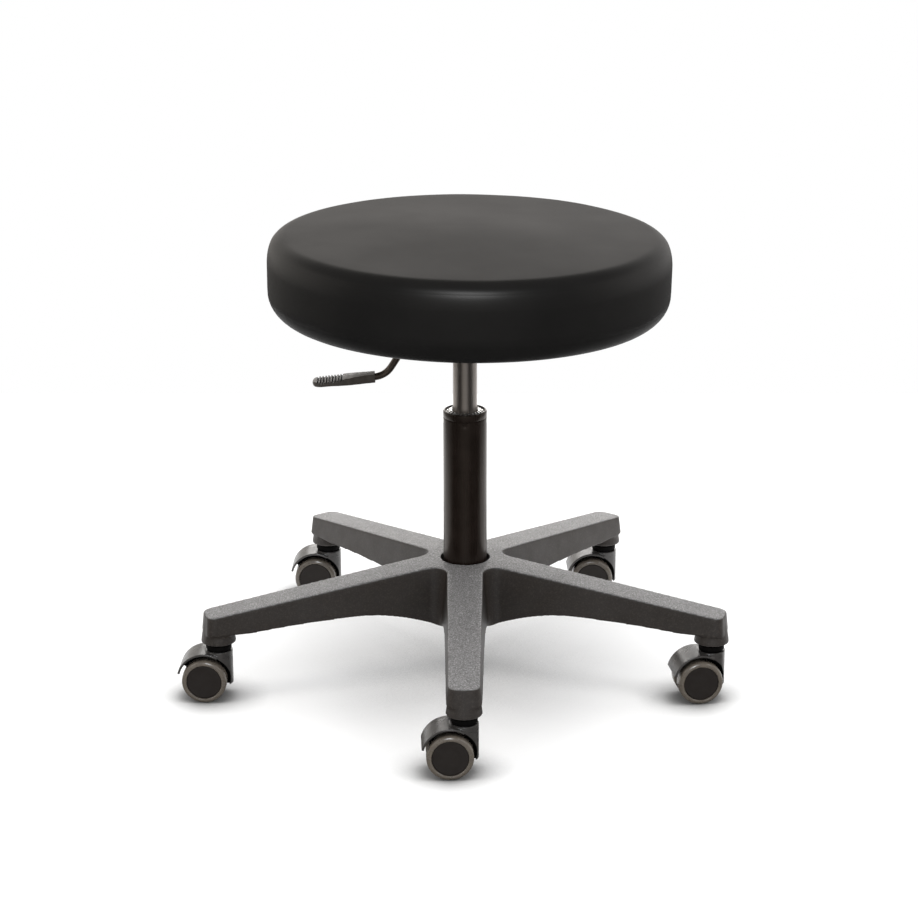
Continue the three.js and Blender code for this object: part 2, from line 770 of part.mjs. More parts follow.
function leverRod() {
  const [pivotX, pivotZ] = LEVER_PIVOT;
  const eye = crossBar(7, -7.5, 7.5, pivotX, pivotZ, SMALL);
  const hole = crossBar(PIVOT_RADIUS + GAP, -9, 9, pivotX, pivotZ, TINY);
  return leverBar(LEVER_RADIUS).add(eye).subtract(hole);
}

function leverPivot() {
  const [pivotX, pivotZ] = LEVER_PIVOT;
  const shank = crossBar(PIVOT_RADIUS, -12.5, 12.5, pivotX, pivotZ, TINY);
  return shank.add(crossBar(4, 11, 12.5, pivotX, pivotZ, TINY)).add(crossBar(4, -12.5, -11, pivotX, pivotZ, TINY));
}

// Square where it takes the bar, the handle flattens into a wide paddle with a rounded end and grip
// grooves across its upper face.
function leverHandle() {
  const [innerX, outerX] = HANDLE_X;
  const [innerZ, outerZ] = HANDLE_Z;
  const length = Math.hypot(outerX - innerX, outerZ - innerZ);
  const droop = THREE.MathUtils.radToDeg(Math.atan2(innerZ - outerZ, innerX - outerX));
  const narrow = HANDLE_SOCKET / 2;
  const wide = HANDLE_WIDTH / 2;
  const thin = HANDLE_THIN / 2;
  const plan = roundedOutline([
    [0, -narrow, 1],
    [length * 0.3, -narrow, 14],
    [length * 0.6, -wide, 14],
    [length, -wide, wide - 2],
    [length, wide, wide - 2],
    [length * 0.6, wide, 14],
    [length * 0.3, narrow, 14],
    [0, narrow, 1],
  ]);
  const side = roundedOutline([
    [0, -narrow, 1],
    [length * 0.55, -narrow, 20],
    [length, -thin - 1, 2.5],
    [length, thin, 2],
    [0, narrow, 1],
  ]);
  let body = pulled(plan, -narrow, narrow, 3).intersect(pulledAcross(side, wide, 3));
  const grooves = 9;
  const pitch = 3.4;
  for (let i = 0; i < grooves; i++) {
    const x = length * 0.92 - i * pitch;
    const top = THREE.MathUtils.mapLinear(x, 0, length, narrow, thin);
    body = body.subtract(block([x - 1.5, -wide - 1, top - 1], [x, wide + 1, narrow + 1]));
  }
  const laid = body.rotate([0, 0, 180]).rotate([0, -droop, 0]).translate([innerX, 0, innerZ]);
  return laid.subtract(leverBar(LEVER_RADIUS + GAP));
}

// ---- Assembly -------------------------------------------------------------------------------------

place("base", base(), "nylon");
placeCasters();
place("outer_tube", outerTube(), "columnPaint");
place("guide_bushing", guideBushing(), "acetal");
place("thrust_washer_lower", thrustWasher(WASHER_LOW), "steel");
place("thrust_ball_cage", ballCage(), "steel");
place("thrust_washer_upper", thrustWasher(WASHER_HIGH), "steel");
place("rod_clip", rodClip(), "steel");
place("piston_rod", pistonRod(), "steel");
place("piston", piston(), "steel");
place("bump_stop", bumpStop(), "rubber");
place("rod_seal_guide", rodSealGuide(), "rubber");
place("pressure_cylinder", pressureCylinder(), "steel");
place("valve_pin", valvePin(), "acetal");
place("taper_socket", taperSocket(), "platePaint");
place("mounting_plate", mountingPlate(), "platePaint");
place("seat_board", seatBoard(), "plywood");
place("underside_cover", dustCover(), "cloth");
place("seat_cushion", seatCushion(), "vinyl");
boltPlaces().forEach((at, i) => place(`seat_bolt_${i + 1}`, seatBolt().translate(at), "zinc"));
place("lever_rod", leverRod(), "zinc");
place("lever_pivot", leverPivot(), "zinc");
place("lever_handle", leverHandle(), "casterPlastic");

export default stool;
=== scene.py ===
"""Adjustable swivel stool: the finished looks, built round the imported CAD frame. Metres, +Z up."""
import json
import math

import bmesh
import bpy
from mathutils import Matrix, Vector, noise


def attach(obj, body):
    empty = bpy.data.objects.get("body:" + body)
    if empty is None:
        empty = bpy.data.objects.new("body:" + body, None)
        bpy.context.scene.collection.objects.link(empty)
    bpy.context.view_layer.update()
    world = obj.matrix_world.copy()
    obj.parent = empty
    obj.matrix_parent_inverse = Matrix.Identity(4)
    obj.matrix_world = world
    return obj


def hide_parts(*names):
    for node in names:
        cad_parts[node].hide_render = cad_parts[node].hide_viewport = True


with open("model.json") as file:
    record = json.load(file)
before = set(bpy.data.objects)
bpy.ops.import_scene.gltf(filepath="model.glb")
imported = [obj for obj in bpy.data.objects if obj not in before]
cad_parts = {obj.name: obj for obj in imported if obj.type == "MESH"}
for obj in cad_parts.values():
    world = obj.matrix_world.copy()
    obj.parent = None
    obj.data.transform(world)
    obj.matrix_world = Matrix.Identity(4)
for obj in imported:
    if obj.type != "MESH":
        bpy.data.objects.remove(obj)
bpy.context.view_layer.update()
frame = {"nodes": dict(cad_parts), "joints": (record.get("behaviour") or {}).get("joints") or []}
joints = {joint["name"]: joint for joint in frame["joints"]}

MM = 0.001
ARMS = 5
SIDES = ("left", "right")
# Faces round a turned piece
FINE = 96

# Casters: they stand before the materials because the housing material's painted shade under the hood
# follows the hood's sizes
WHEEL_RADIUS = 25.4
TRAIL = 15.5
WHEEL_INNER = 6.2
WHEEL_OUTER = 22
CAP_RADIUS = 19.6
HOOD_OUTER = 31.3
HOOD_INNER = 28.8
HOOD_RISE = 1.5
HOOD_HALF = 19
PILLAR_RADIUS = 15.6
PILLAR_BOTTOM = 18.5
PILLAR_TOP = 58.5
NECK_RADIUS = 14.5
NECK_TOP = 66
NECK_BORE = 4.2
WEB_HALF = 5.2
AXLE_BORE = 3.3


# ---- Mesh tools ----

def add_to_scene(obj):
    bpy.context.scene.collection.objects.link(obj)


def mesh_object(name, points, faces):
    """A new object from points in millimetres."""
    mesh = bpy.data.meshes.new(name)
    mesh.from_pydata([Vector(point) * MM for point in points], [], faces)
    mesh.validate()
    obj = bpy.data.objects.new(name, mesh)
    add_to_scene(obj)
    return obj


def shade(obj, degrees=38):
    """Smooth shading with hard edges where the faces meet at more than the given angle."""
    obj.data.shade_smooth()
    obj.data.set_sharp_from_angle(angle=math.radians(degrees))
    return obj


def applied(obj):
    """Turns the object's modifiers into plain mesh."""
    graph = bpy.context.evaluated_depsgraph_get()
    mesh = bpy.data.meshes.new_from_object(obj.evaluated_get(graph))
    obj.modifiers.clear()
    obj.data = mesh
    return obj


def combined(obj, tool, operation):
    """obj joined with, cut by or kept inside tool, which is used up."""
    modifier = obj.modifiers.new("combine", "BOOLEAN")
    modifier.operation = operation
    modifier.solver = "EXACT"
    modifier.object = tool
    applied(obj)
    bpy.data.objects.remove(tool)
    return obj


def smoothed(obj, rounds):
    smooth = obj.modifiers.new("smooth", "SMOOTH")
    smooth.factor = 0.5
    smooth.iterations = rounds
    applied(obj)
    obj.data.shade_smooth()
    return obj


def softened(obj, voxel, rounds):
    """Remeshes evenly and smooths, which rounds every edge like a moulding's."""
    remesh = obj.modifiers.new("remesh", "REMESH")
    remesh.mode = "VOXEL"
    remesh.voxel_size = voxel * MM
    return smoothed(obj, rounds)


def filleted(corners, steps=6):
    """A closed outline through (x, y, radius) corners, each rounded with its own radius."""
    outline = []
    count = len(corners)
    for i, (x, y, radius) in enumerate(corners):
        corner = Vector((x, y))
        if radius == 0:
            outline.append((x, y))
            continue
        back = (Vector(corners[i - 1][:2]) - corner).normalized()
        ahead = (Vector(corners[(i + 1) % count][:2]) - corner).normalized()
        half = math.acos(max(-1, min(1, back.dot(ahead)))) / 2
        centre = corner + (back + ahead).normalized() * (radius / math.sin(half))
        start = corner + back * (radius / math.tan(half)) - centre
        end = corner + ahead * (radius / math.tan(half)) - centre
        first = math.atan2(start.y, start.x)
        turn = math.remainder(math.atan2(end.y, end.x) - first, math.tau)
        for k in range(steps + 1):
            angle = first + turn * k / steps
            outline.append((centre.x + radius * math.cos(angle), centre.y + radius * math.sin(angle)))
    return outline


def lathe(name, section, segments):
    """A closed (radius, height) section turned round Z. It runs out along the bottom and up the outside."""
    points = []
    faces = []
    rows = []
    for radius, height in section:
        if radius < 1e-6:
            rows.append([len(points)] * segments)
            points.append((0, 0, height))
            continue
        rows.append([len(points) + i for i in range(segments)])
        for i in range(segments):
            angle = math.tau * i / segments
            points.append((radius * math.cos(angle), radius * math.sin(angle), height))
    for low, high in zip(rows, rows[1:] + rows[:1]):
        if low[0] == low[1] and high[0] == high[1]:
            continue
        for i in range(segments):
            j = (i + 1) % segments
            face = [low[i], low[j], high[j], high[i]]
            faces.append([v for k, v in enumerate(face) if v not in face[:k]])
    return shade(mesh_object(name, points, faces))


def loft(name, loops):
    """A closed solid through loops of equal length, listed from the bottom up."""
    size = len(loops[0])
    points = [point for loop in loops for point in loop]
    faces = [list(range(size))[::-1]]
    for k in range(len(loops) - 1):
        for i in range(size):
            j = (i + 1) % size
            faces.append([k * size + i, k * size + j, (k + 1) * size + j, (k + 1) * size + i])
    faces.append([(len(loops) - 1) * size + i for i in range(size)])
    return mesh_object(name, points, faces)


def prism(name, outline, low, high):
    """An (x, y) outline pulled up from one height to another."""
    return loft(name, [[(x, y, z) for x, y in outline] for z in (low, high)])


def slab(name, outline, half):
    """An (x, z) outline pulled to both sides of the middle plane along Y."""
    return loft(name, [[(x, y, z) for x, z in outline] for y in (half, -half)])


def block(name, low, high):
    outline = [(low[0], low[1]), (high[0], low[1]), (high[0], high[1]), (low[0], high[1])]
    return prism(name, outline, low[2], high[2])


def cross_bar(name, radius, low, high, x, z, segments=48):
    """A round bar along Y."""
    outline = []
    for i in range(segments):
        angle = math.tau * i / segments
        outline.append((x + radius * math.cos(angle), z + radius * math.sin(angle)))
    return loft(name, [[(px, y, pz) for px, pz in outline] for y in (high, low)])


def smooth_line(points, steps):
    """Points along a smooth curve that passes through the given ones."""
    line = []
    ends = [points[0], *points, points[-1]]
    for a, b, c, d in zip(ends, ends[1:], ends[2:], ends[3:]):
        a, b, c, d = Vector(a), Vector(b), Vector(c), Vector(d)
        for k in range(steps):
            t = k / steps
            spot = 2 * b + (c - a) * t + (2 * a - 5 * b + 4 * c - d) * t**2 + (3 * b - a - 3 * c + d) * t**3
            line.append(spot / 2)
    return [*line, Vector(points[-1])]


def tube_along(name, line, radius, segments=24):
    """A round bar that follows a line in the X-Z plane, closed flat at both ends."""
    loops = []
    for k, spot in enumerate(line):
        ahead = (line[min(k + 1, len(line) - 1)] - line[max(k - 1, 0)]).normalized()
        side = Vector((0, 1, 0))
        up = ahead.cross(side)
        loop = []
        for i in range(segments):
            angle = math.tau * i / segments
            loop.append(spot + (side * math.cos(angle) + up * math.sin(angle)) * radius)
        loops.append(loop)
    return shade(loft(name, loops))


def paint(obj, key):
    obj.data.materials.clear()
    obj.data.materials.append(MATERIALS[key])


def place(obj, body, slot, key, *nodes):
    """Finishes a piece: it rides on a body, takes a material by its key and stands for CAD nodes."""
    paint(obj, key)
    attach(obj, body)
    if nodes:
        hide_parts(*nodes)
    return obj


# ---- Materials ----

class NodeTree:
    """A shader node tree with helpers that add and join nodes."""

    def __init__(self, tree):
        self.tree = tree

    def node(self, kind):
        return self.tree.nodes.new(kind)

    def link(self, output, socket):
        self.tree.links.new(output, socket)

    def feed(self, socket, value):
        """Links another node's output to a socket, or sets a plain value on it."""
        if isinstance(value, bpy.types.NodeSocket):
            self.link(value, socket)
        else:
            socket.default_value = value

    def span(self, value, low, high, to_low=0.0, to_high=1.0, curve="LINEAR"):
        """Maps a value from one range to another and holds it at both ends."""
        remap = self.node("ShaderNodeMapRange")
        remap.interpolation_type = curve
        remap.inputs["From Min"].default_value = low
        remap.inputs["From Max"].default_value = high
        remap.inputs["To Min"].default_value = to_low
        remap.inputs["To Max"].default_value = to_high
        self.link(value, remap.inputs["Value"])
        return remap.outputs["Result"]

    def math(self, operation, a, b):
        node = self.node("ShaderNodeMath")
        node.operation = operation
        self.feed(node.inputs[0], a)
        self.feed(node.inputs[1], b)
        return node.outputs["Value"]

    def product(self, a, b):
        return self.math("MULTIPLY", a, b)

    def mixed(self, factor, a, b):
        """Colour b laid over colour a by a factor."""
        mix = self.node("ShaderNodeMix")
        mix.data_type = "RGBA"
        self.link(factor, mix.inputs["Factor"])
        self.feed(mix.inputs["A"], a)
        self.feed(mix.inputs["B"], b)
        return mix.outputs["Result"]


class Finish(NodeTree):
    """A Principled material with small helpers that add noise, colour change and relief."""

    def __init__(self, name, color, roughness, metallic=0.0, coat=0.0, specular=0.5):
        self.material = bpy.data.materials.new(name)
        self.material.use_nodes = True
        super().__init__(self.material.node_tree)
        self.shader = self.tree.nodes["Principled BSDF"]
        self.shader.inputs["Base Color"].default_value = (*color, 1)
        self.shader.inputs["Roughness"].default_value = roughness
        self.shader.inputs["Metallic"].default_value = metallic
        self.shader.inputs["Coat Weight"].default_value = coat
        self.shader.inputs["Coat Roughness"].default_value = 0.15
        self.shader.inputs["Specular IOR Level"].default_value = specular
        self.place = self.node("ShaderNodeTexCoord").outputs["Object"]
        self.last_bump = None

    def stretched(self, x, y, z):
        mapping = self.node("ShaderNodeMapping")
        mapping.inputs["Scale"].default_value = (x, y, z)
        self.link(self.place, mapping.inputs["Vector"])
        return mapping.outputs["Vector"]

    def noise(self, scale, detail=3.0, roughness=0.55, vector=None):
        texture = self.node("ShaderNodeTexNoise")
        texture.inputs["Scale"].default_value = scale
        texture.inputs["Detail"].default_value = detail
        texture.inputs["Roughness"].default_value = roughness
        self.link(vector or self.place, texture.inputs["Vector"])
        return texture.outputs["Fac"]

    def cells(self, scale, feature="DISTANCE_TO_EDGE", vector=None):
        texture = self.node("ShaderNodeTexVoronoi")
        texture.feature = feature
        texture.inputs["Scale"].default_value = scale
        self.link(vector or self.place, texture.inputs["Vector"])
        return texture.outputs["Distance"]

    def height_of_normal(self):
        """1 on faces that look up, 0 on upright ones, -1 on undersides."""
        geometry = self.node("ShaderNodeNewGeometry")
        split = self.node("ShaderNodeSeparateXYZ")
        self.link(geometry.outputs["Normal"], split.inputs["Vector"])
        return split.outputs["Z"]

    def facing_up(self):
        """1 on faces that look up, 0 on upright ones."""
        return self.span(self.height_of_normal(), 0.45, 0.9)

    def near_bar(self, x, z, radius):
        """1 within a radius of a line along Y through (x, z), in millimetres."""
        split = self.node("ShaderNodeSeparateXYZ")
        self.link(self.place, split.inputs["Vector"])
        across = self.math("SUBTRACT", split.outputs["X"], x * MM)
        up = self.math("SUBTRACT", split.outputs["Z"], z * MM)
        far = self.math("ADD", self.product(across, across), self.product(up, up))
        return self.span(self.math("SQRT", far, 0), (radius + 0.15) * MM, (radius - 0.15) * MM)

    def edges(self, low, high):
        """1 along outside edges, 0 on flats."""
        geometry = self.node("ShaderNodeNewGeometry")
        return self.span(geometry.outputs["Pointiness"], low, high)

    def hemmed_in(self, reach, clear, dark):
        """1 where other surfaces stand within a reach in metres, 0 in the open."""
        closeness = self.node("ShaderNodeAmbientOcclusion")
        closeness.samples = 8
        closeness.inputs["Distance"].default_value = reach
        return self.span(closeness.outputs["AO"], clear, dark)

    def tint(self, factor, color):
        """Mixes another colour over what the surface has, by a factor."""
        base = self.shader.inputs["Base Color"]
        under = base.links[0].from_socket if base.is_linked else tuple(base.default_value)
        self.link(self.mixed(factor, under, (*color, 1)), base)

    def blotch(self, scale, detail, low, high, color, most=1.0):
        """Mixes another colour in where a noise rises from low to high."""
        self.tint(self.span(self.noise(scale, detail), low, high, 0.0, most), color)

    def rough(self, value, low, high):
        """Roughness that follows a 0 to 1 value between two levels."""
        self.link(self.span(value, 0.3, 0.7, low, high), self.shader.inputs["Roughness"])

    def shine(self, value, low, high):
        """Specular level that follows a 0 to 1 value between two levels."""
        self.link(self.span(value, 0.0, 1.0, low, high), self.shader.inputs["Specular IOR Level"])

    def scuff(self, scale, detail, low, high):
        """Roughness that wanders between two levels."""
        self.rough(self.noise(scale, detail), low, high)

    def bump(self, height, distance, strength=1.0):
        """Adds relief of the given depth in metres."""
        bump = self.node("ShaderNodeBump")
        bump.inputs["Distance"].default_value = distance
        self.feed(bump.inputs["Strength"], strength)
        self.link(height, bump.inputs["Height"])
        if self.last_bump:
            self.link(self.last_bump, bump.inputs["Normal"])
        self.last_bump = bump.outputs["Normal"]
        self.link(self.last_bump, self.shader.inputs["Normal"])

    def pebble(self, scale, detail, depth, strength):
        """Relief that follows a noise."""
        self.bump(self.noise(scale, detail), depth, strength)


def vinyl():
    """Smooth black upholstery vinyl with a fine pebble grain."""
    finish = Finish("black_vinyl", (0.0072, 0.007, 0.0069), 0.35, specular=0.25)
    finish.shader.inputs["Specular Tint"].default_value = (1, 0.975, 0.94, 1)
    finish.blotch(14, 4, 0.35, 0.7, (0.009, 0.0087, 0.0085))
    finish.scuff(9, 3, 0.38, 0.42)
    finish.bump(finish.span(finish.cells(620), 0.0, 0.25), 0.00004, 0.45)
    finish.pebble(1500, 2, 0.00003, 0.45)
    # Painted shade: faces that look down get little specular, so the cushion's lower side reads darker
    finish.shine(finish.span(finish.height_of_normal(), -0.3, 0.05), 0.02, 0.22)
    return finish.material


def nylon():
    """Glass-filled nylon: speckled eroded texture on top, smoother drawn flanks; tops painted lighter and
    shinier as painted light from above, edges painted pale as a painted highlight.
    """
    finish = Finish("glass_filled_nylon", (0.02, 0.015, 0.0115), 0.5, specular=0.85)
    up = finish.facing_up()
    grain = finish.noise(620, 4, 0.7)
    finish.blotch(12, 4, 0.35, 0.7, (0.025, 0.0205, 0.018))
    # Painted light: faces that look up get a paler colour, as if lit from above
    finish.tint(finish.product(up, 0.9), (0.16, 0.157, 0.158))
    finish.tint(finish.product(up, finish.span(grain, 0.5, 0.68)), (0.42, 0.415, 0.415))
    finish.tint(finish.product(up, finish.span(grain, 0.47, 0.33)), (0.045, 0.043, 0.043))
    finish.blotch(900, 2, 0.6, 0.75, (0.07, 0.062, 0.057), 0.3)
    # Painted highlight: sharp edges get a paler colour
    finish.tint(finish.edges(0.53, 0.6), (0.12, 0.115, 0.11))
    speckle = finish.span(grain, 0.5, 0.7, 0, 0.7)
    finish.tint(finish.product(finish.span(up, 1, 0), speckle), (0.06, 0.049, 0.041))
    # Painted light: faces that look up also get more specular, so the tops read brighter
    finish.shine(up, 0.5, 0.95)
    finish.scuff(60, 3, 0.44, 0.54)
    finish.bump(grain, 0.00022, finish.span(up, 0, 1, 0.25, 1.0))
    finish.pebble(1400, 2, 0.00005, 0.6)
    return finish.material


def caster_plastic():
    finish = Finish("caster_nylon", (0.03, 0.028, 0.027), 0.3, specular=0.7)
    finish.blotch(90, 4, 0.4, 0.7, (0.042, 0.039, 0.037))
    # Painted highlight: sharp edges get a paler colour
    finish.tint(finish.edges(0.54, 0.62), (0.1, 0.095, 0.09))
    finish.scuff(140, 3, 0.24, 0.36)
    finish.pebble(1300, 3, 0.00005, 0.5)
    # Painted shade: under the hood the plastic is made near-black with almost no shine
    inside = finish.near_bar(-TRAIL, WHEEL_RADIUS + HOOD_RISE, HOOD_INNER + 0.3)
    finish.tint(inside, (0.0022, 0.002, 0.002))
    finish.shine(inside, 0.7, 0.03)
    return finish.material


def column_paint():
    """Semi-gloss brown-black enamel with a slight orange peel and faint draw marks."""
    finish = Finish("column_enamel", (0.0095, 0.0062, 0.0048), 0.27, metallic=0.1, coat=0.06, specular=0.32)
    finish.shader.inputs["Specular Tint"].default_value = (1, 0.88, 0.76, 1)
    finish.blotch(40, 5, 0.4, 0.7, (0.014, 0.0095, 0.0078))
    finish.rough(finish.noise(3, 4, vector=finish.stretched(60, 60, 2)), 0.22, 0.36)
    finish.pebble(350, 2, 0.00003, 0.5)
    return finish.material


def ground_steel():
    """Satin steel with fine rings from centreless grinding."""
    finish = Finish("ground_steel", (0.52, 0.48, 0.45), 0.32, metallic=1.0)
    rings = finish.noise(4, 5, 0.7, finish.stretched(2, 2, 700))
    finish.tint(finish.span(rings, 0.4, 0.65, 0, 0.6), (0.4, 0.37, 0.35))
    finish.blotch(30, 5, 0.5, 0.8, (0.33, 0.29, 0.26), 0.5)
    finish.rough(rings, 0.26, 0.4)
    finish.bump(rings, 0.00002, 0.5)
    return finish.material


def zinc_plate():
    finish = Finish("zinc_plate", (0.4, 0.4, 0.4), 0.36, metallic=1.0)
    finish.tint(finish.span(finish.cells(260, "F1"), 0.2, 0.7), (0.48, 0.47, 0.44))
    finish.tint(finish.edges(0.55, 0.65), (0.6, 0.6, 0.59))
    finish.scuff(200, 4, 0.28, 0.48)
    finish.pebble(900, 3, 0.00004, 0.5)
    return finish.material


def handle_plastic():
    """Grained brown-black nylon; the pad's upper face is painted pale as painted light from above, its edges
    painted paler as a painted highlight and its grooves painted dark as painted shade.
    """
    finish = Finish("handle_nylon", (0.034, 0.027, 0.021), 0.46, specular=0.5)
    finish.blotch(140, 4, 0.4, 0.7, (0.042, 0.034, 0.027))
    # Painted light: faces that look up get a pale colour
    finish.tint(finish.product(finish.facing_up(), 0.9), (0.29, 0.275, 0.26))
    # Painted highlight: sharp edges get a paler colour
    finish.tint(finish.edges(0.54, 0.64), (0.13, 0.125, 0.12))
    # Painted shade: dark where surfaces close in, as in the grooves
    finish.tint(finish.hemmed_in(0.003, 0.85, 0.5), (0.012, 0.01, 0.008))
    finish.scuff(200, 3, 0.4, 0.54)
    finish.pebble(1200, 3, 0.00007, 0.6)
    return finish.material


def plywood():
    finish = Finish("birch_plywood", (0.5, 0.34, 0.19), 0.65)
    grain = finish.noise(6, 6, 0.65, finish.stretched(2, 14, 60))
    finish.tint(finish.span(grain, 0.4, 0.65), (0.34, 0.21, 0.11))
    finish.rough(grain, 0.55, 0.75)
    finish.bump(grain, 0.0001, 0.6)
    return finish.material


def dust_cloth():
    """Non-woven black cloth with a pressed diamond pattern."""
    finish = Finish("dust_cloth", (0.012, 0.012, 0.012), 0.92)
    fibres = finish.noise(420, 6, 0.75, finish.stretched(1, 2.2, 1))
    finish.tint(finish.span(fibres, 0.45, 0.7), (0.032, 0.031, 0.03))
    finish.bump(fibres, 0.00018, 0.8)
    finish.bump(finish.span(finish.cells(330, "F1"), 0.0, 0.5), 0.00012, 0.7)
    return finish.material


def plain_finish(name, color, roughness, blotches, pebble, scuff=None, edges=None, **levels):
    """Blotches of colour over a fine relief, with paler edges and wandering roughness where they're given.
    """
    finish = Finish(name, color, roughness, **levels)
    for blotch in blotches:
        finish.blotch(*blotch)
    if edges:
        low, high, edge_colour = edges
        # Sharp edges get a paler colour
        finish.tint(finish.edges(low, high), edge_colour)
    if scuff:
        finish.scuff(*scuff)
    finish.pebble(*pebble)
    return finish.material


def floor_white():
    """Matt white paper with painted shadow that greys it where something stands close to it."""
    finish = Finish("studio_floor", (0.98, 0.98, 0.98), 0.9, specular=0.0)
    finish.blotch(2, 2, 0.4, 0.7, (0.97, 0.97, 0.97))
    # Painted shadow: a short reach for contact shadows, a long one for the shade under the hub and arms
    for reach, clear, dark in ((0.05, 1.0, 0.45), (0.17, 0.66, 0.2)):
        finish.tint(finish.hemmed_in(reach, clear, dark), (0.24, 0.24, 0.24))
    return finish.material


MATERIALS = {
    "vinyl": vinyl(),
    "nylon": nylon(),
    "caster": caster_plastic(),
    # Painted shade: near-black with almost no shine, for the neck in the shadow of the base's socket
    "collar": plain_finish(
        "collar_painted_shade",
        (0.0022, 0.002, 0.002),
        0.6,
        [(200, 3, 0.4, 0.7, (0.0035, 0.003, 0.003))],
        (1300, 3, 0.00005, 0.5),
        specular=0.06,
    ),
    "tread": plain_finish(
        "soft_tread",
        (0.1, 0.086, 0.07),
        0.26,
        [(130, 5, 0.42, 0.75, (0.08, 0.067, 0.055)), (700, 3, 0.6, 0.8, (0.14, 0.12, 0.1), 0.5)],
        (900, 3, 0.00004, 0.5),
        scuff=(120, 4, 0.2, 0.34),
        specular=0.6,
    ),
    "cap": plain_finish(
        "wheel_nylon",
        (0.016, 0.012, 0.01),
        0.5,
        [(160, 4, 0.4, 0.75, (0.018, 0.0145, 0.0125))],
        (1100, 3, 0.00006, 0.6),
        scuff=(200, 3, 0.45, 0.6),
        specular=0.25,
    ),
    "column": column_paint(),
    "plate": plain_finish(
        "plate_enamel",
        (0.014, 0.014, 0.014),
        0.42,
        [(50, 5, 0.4, 0.7, (0.022, 0.021, 0.02))],
        (500, 3, 0.00005, 0.5),
        scuff=(90, 4, 0.36, 0.52),
        edges=(0.55, 0.65, (0.06, 0.058, 0.055)),
    ),
    "ground": ground_steel(),
    "bright": plain_finish(
        "bright_steel",
        (0.72, 0.72, 0.71),
        0.14,
        [(160, 4, 0.45, 0.7, (0.55, 0.54, 0.52), 0.5)],
        (800, 3, 0.00003, 0.5),
        scuff=(220, 3, 0.1, 0.2),
        metallic=1.0,
    ),
    "zinc": zinc_plate(),
    "blackened": plain_finish(
        "blackened_steel",
        (0.085, 0.07, 0.058),
        0.3,
        [(120, 4, 0.45, 0.7, (0.12, 0.098, 0.08))],
        (900, 3, 0.00003, 0.5),
        scuff=(150, 4, 0.24, 0.4),
        metallic=0.85,
        coat=0.2,
    ),
    "handle": handle_plastic(),
    "acetal": plain_finish(
        "acetal",
        (0.6, 0.58, 0.53),
        0.3,
        [(180, 3, 0.4, 0.7, (0.5, 0.48, 0.44))],
        (900, 2, 0.00003, 0.4),
    ),
    "rubber": plain_finish(
        "black_rubber",
        (0.015, 0.015, 0.015),
        0.8,
        [(120, 4, 0.4, 0.7, (0.026, 0.025, 0.024))],
        (700, 4, 0.0001, 0.6),
    ),
    "plywood": plywood(),
    "cloth": dust_cloth(),
}


# ---- Base ----

STEM_CIRCLE = 293.6
HUB_TOP = 136.5
HUB_BOTTOM = 65
HUB_RADIUS = 44
HUB_MOUTH = 28
ARM_TIP_TOP = 103.5
ARM_HALF_AT_HUB = 20.5
ARM_HALF_AT_TIP = 14
ARM_DRAFT = 6.3
TIP_ROUND = 10
TIP_FACE = 15
TIP_OVER = -2.4
VALLEY_ROUND = 17
SOFFIT = [(48, 65), (56, 69.5), (68, 74), (90, 80.5), (128, 86), (200, 84.5), (262, 80)]
SOCKET_BOTTOM = 68.3
SOCKET_RADIUS = 19.9
BASE_WALL = 4
RIB_RADII = (110, 165, 220)
ROOF_BLEND = 12
RIB_HALF = 1.5
RIB_REACH = 40
STEM_BORE = 5.8
CUT_FOOT = HUB_BOTTOM - 9
COLUMN_RADIUS = 25


def arm_angle(i):
    return math.radians(-90 + 360 / ARMS * i)


def star(inset):
    """The base's outline seen from above, shrunk by inset."""
    hub_half = ARM_HALF_AT_HUB - inset
    tip_half = ARM_HALF_AT_TIP - inset
    tip = STEM_CIRCLE + tip_half + TIP_OVER
    half_step = math.pi / ARMS
    slope = (hub_half - tip_half) / (tip - HUB_RADIUS)
    valley = (hub_half + slope * HUB_RADIUS) / (math.sin(half_step) + slope * math.cos(half_step))
    corners = []
    for i in range(ARMS):
        angle = arm_angle(i)
        along = Vector((math.cos(angle), math.sin(angle)))
        across = Vector((-along.y, along.x))
        for side in (-1, 1):
            corner = along * tip + across * side * tip_half
            corners.append((corner.x, corner.y, TIP_ROUND))
        between = angle + half_step
        corners.append((valley * math.cos(between), valley * math.sin(between), VALLEY_ROUND + inset))
    return filleted(corners, 10)


def drafted_star(name, inset):
    """The star between hub foot and hub top, with flanks that lean out towards the foot."""
    foot = [(x, y, HUB_BOTTOM) for x, y in star(inset - ARM_DRAFT)]
    head = [(x, y, HUB_TOP) for x, y in star(inset)]
    return loft(name, [foot, head])


def arm_top(radius):
    fall = (HUB_TOP - ARM_TIP_TOP) / (STEM_CIRCLE - HUB_RADIUS)
    return HUB_TOP - fall * (radius - HUB_RADIUS)


def under_roof(name, drop):
    """Everything below the falling top face of the arms."""
    far = STEM_CIRCLE + 2 * SOCKET_RADIUS
    low = HUB_BOTTOM - 4
    outer = HUB_RADIUS + ROOF_BLEND
    section = [
        (0, low),
        (far, low),
        (far, arm_top(far) - drop),
        (outer, arm_top(outer) - drop),
        (HUB_RADIUS, HUB_TOP - drop - 0.5),
        (HUB_RADIUS - ROOF_BLEND, HUB_TOP - drop),
        (0, HUB_TOP - drop),
    ]
    return lathe(name, section, 120)


def arch(name):
    """The space under the arms, outside the hub's foot."""
    far = STEM_CIRCLE + 2 * SOCKET_RADIUS
    low = HUB_BOTTOM - 10
    curve = [(spot.x, spot.y) for spot in smooth_line(SOFFIT, 4)]
    section = [(SOFFIT[0][0], low), (far, low), (far, SOFFIT[-1][1]), *reversed(curve)]
    return lathe(name, section, 120)


def at_stem(obj, i):
    angle = arm_angle(i)
    shift = Vector((STEM_CIRCLE * math.cos(angle), STEM_CIRCLE * math.sin(angle), 0)) * MM
    obj.data.transform(Matrix.Translation(shift))
    return obj


def rod(name, radius, low, high, segments=48):
    return lathe(name, [(0, low), (radius, low), (radius, high), (0, high)], segments)


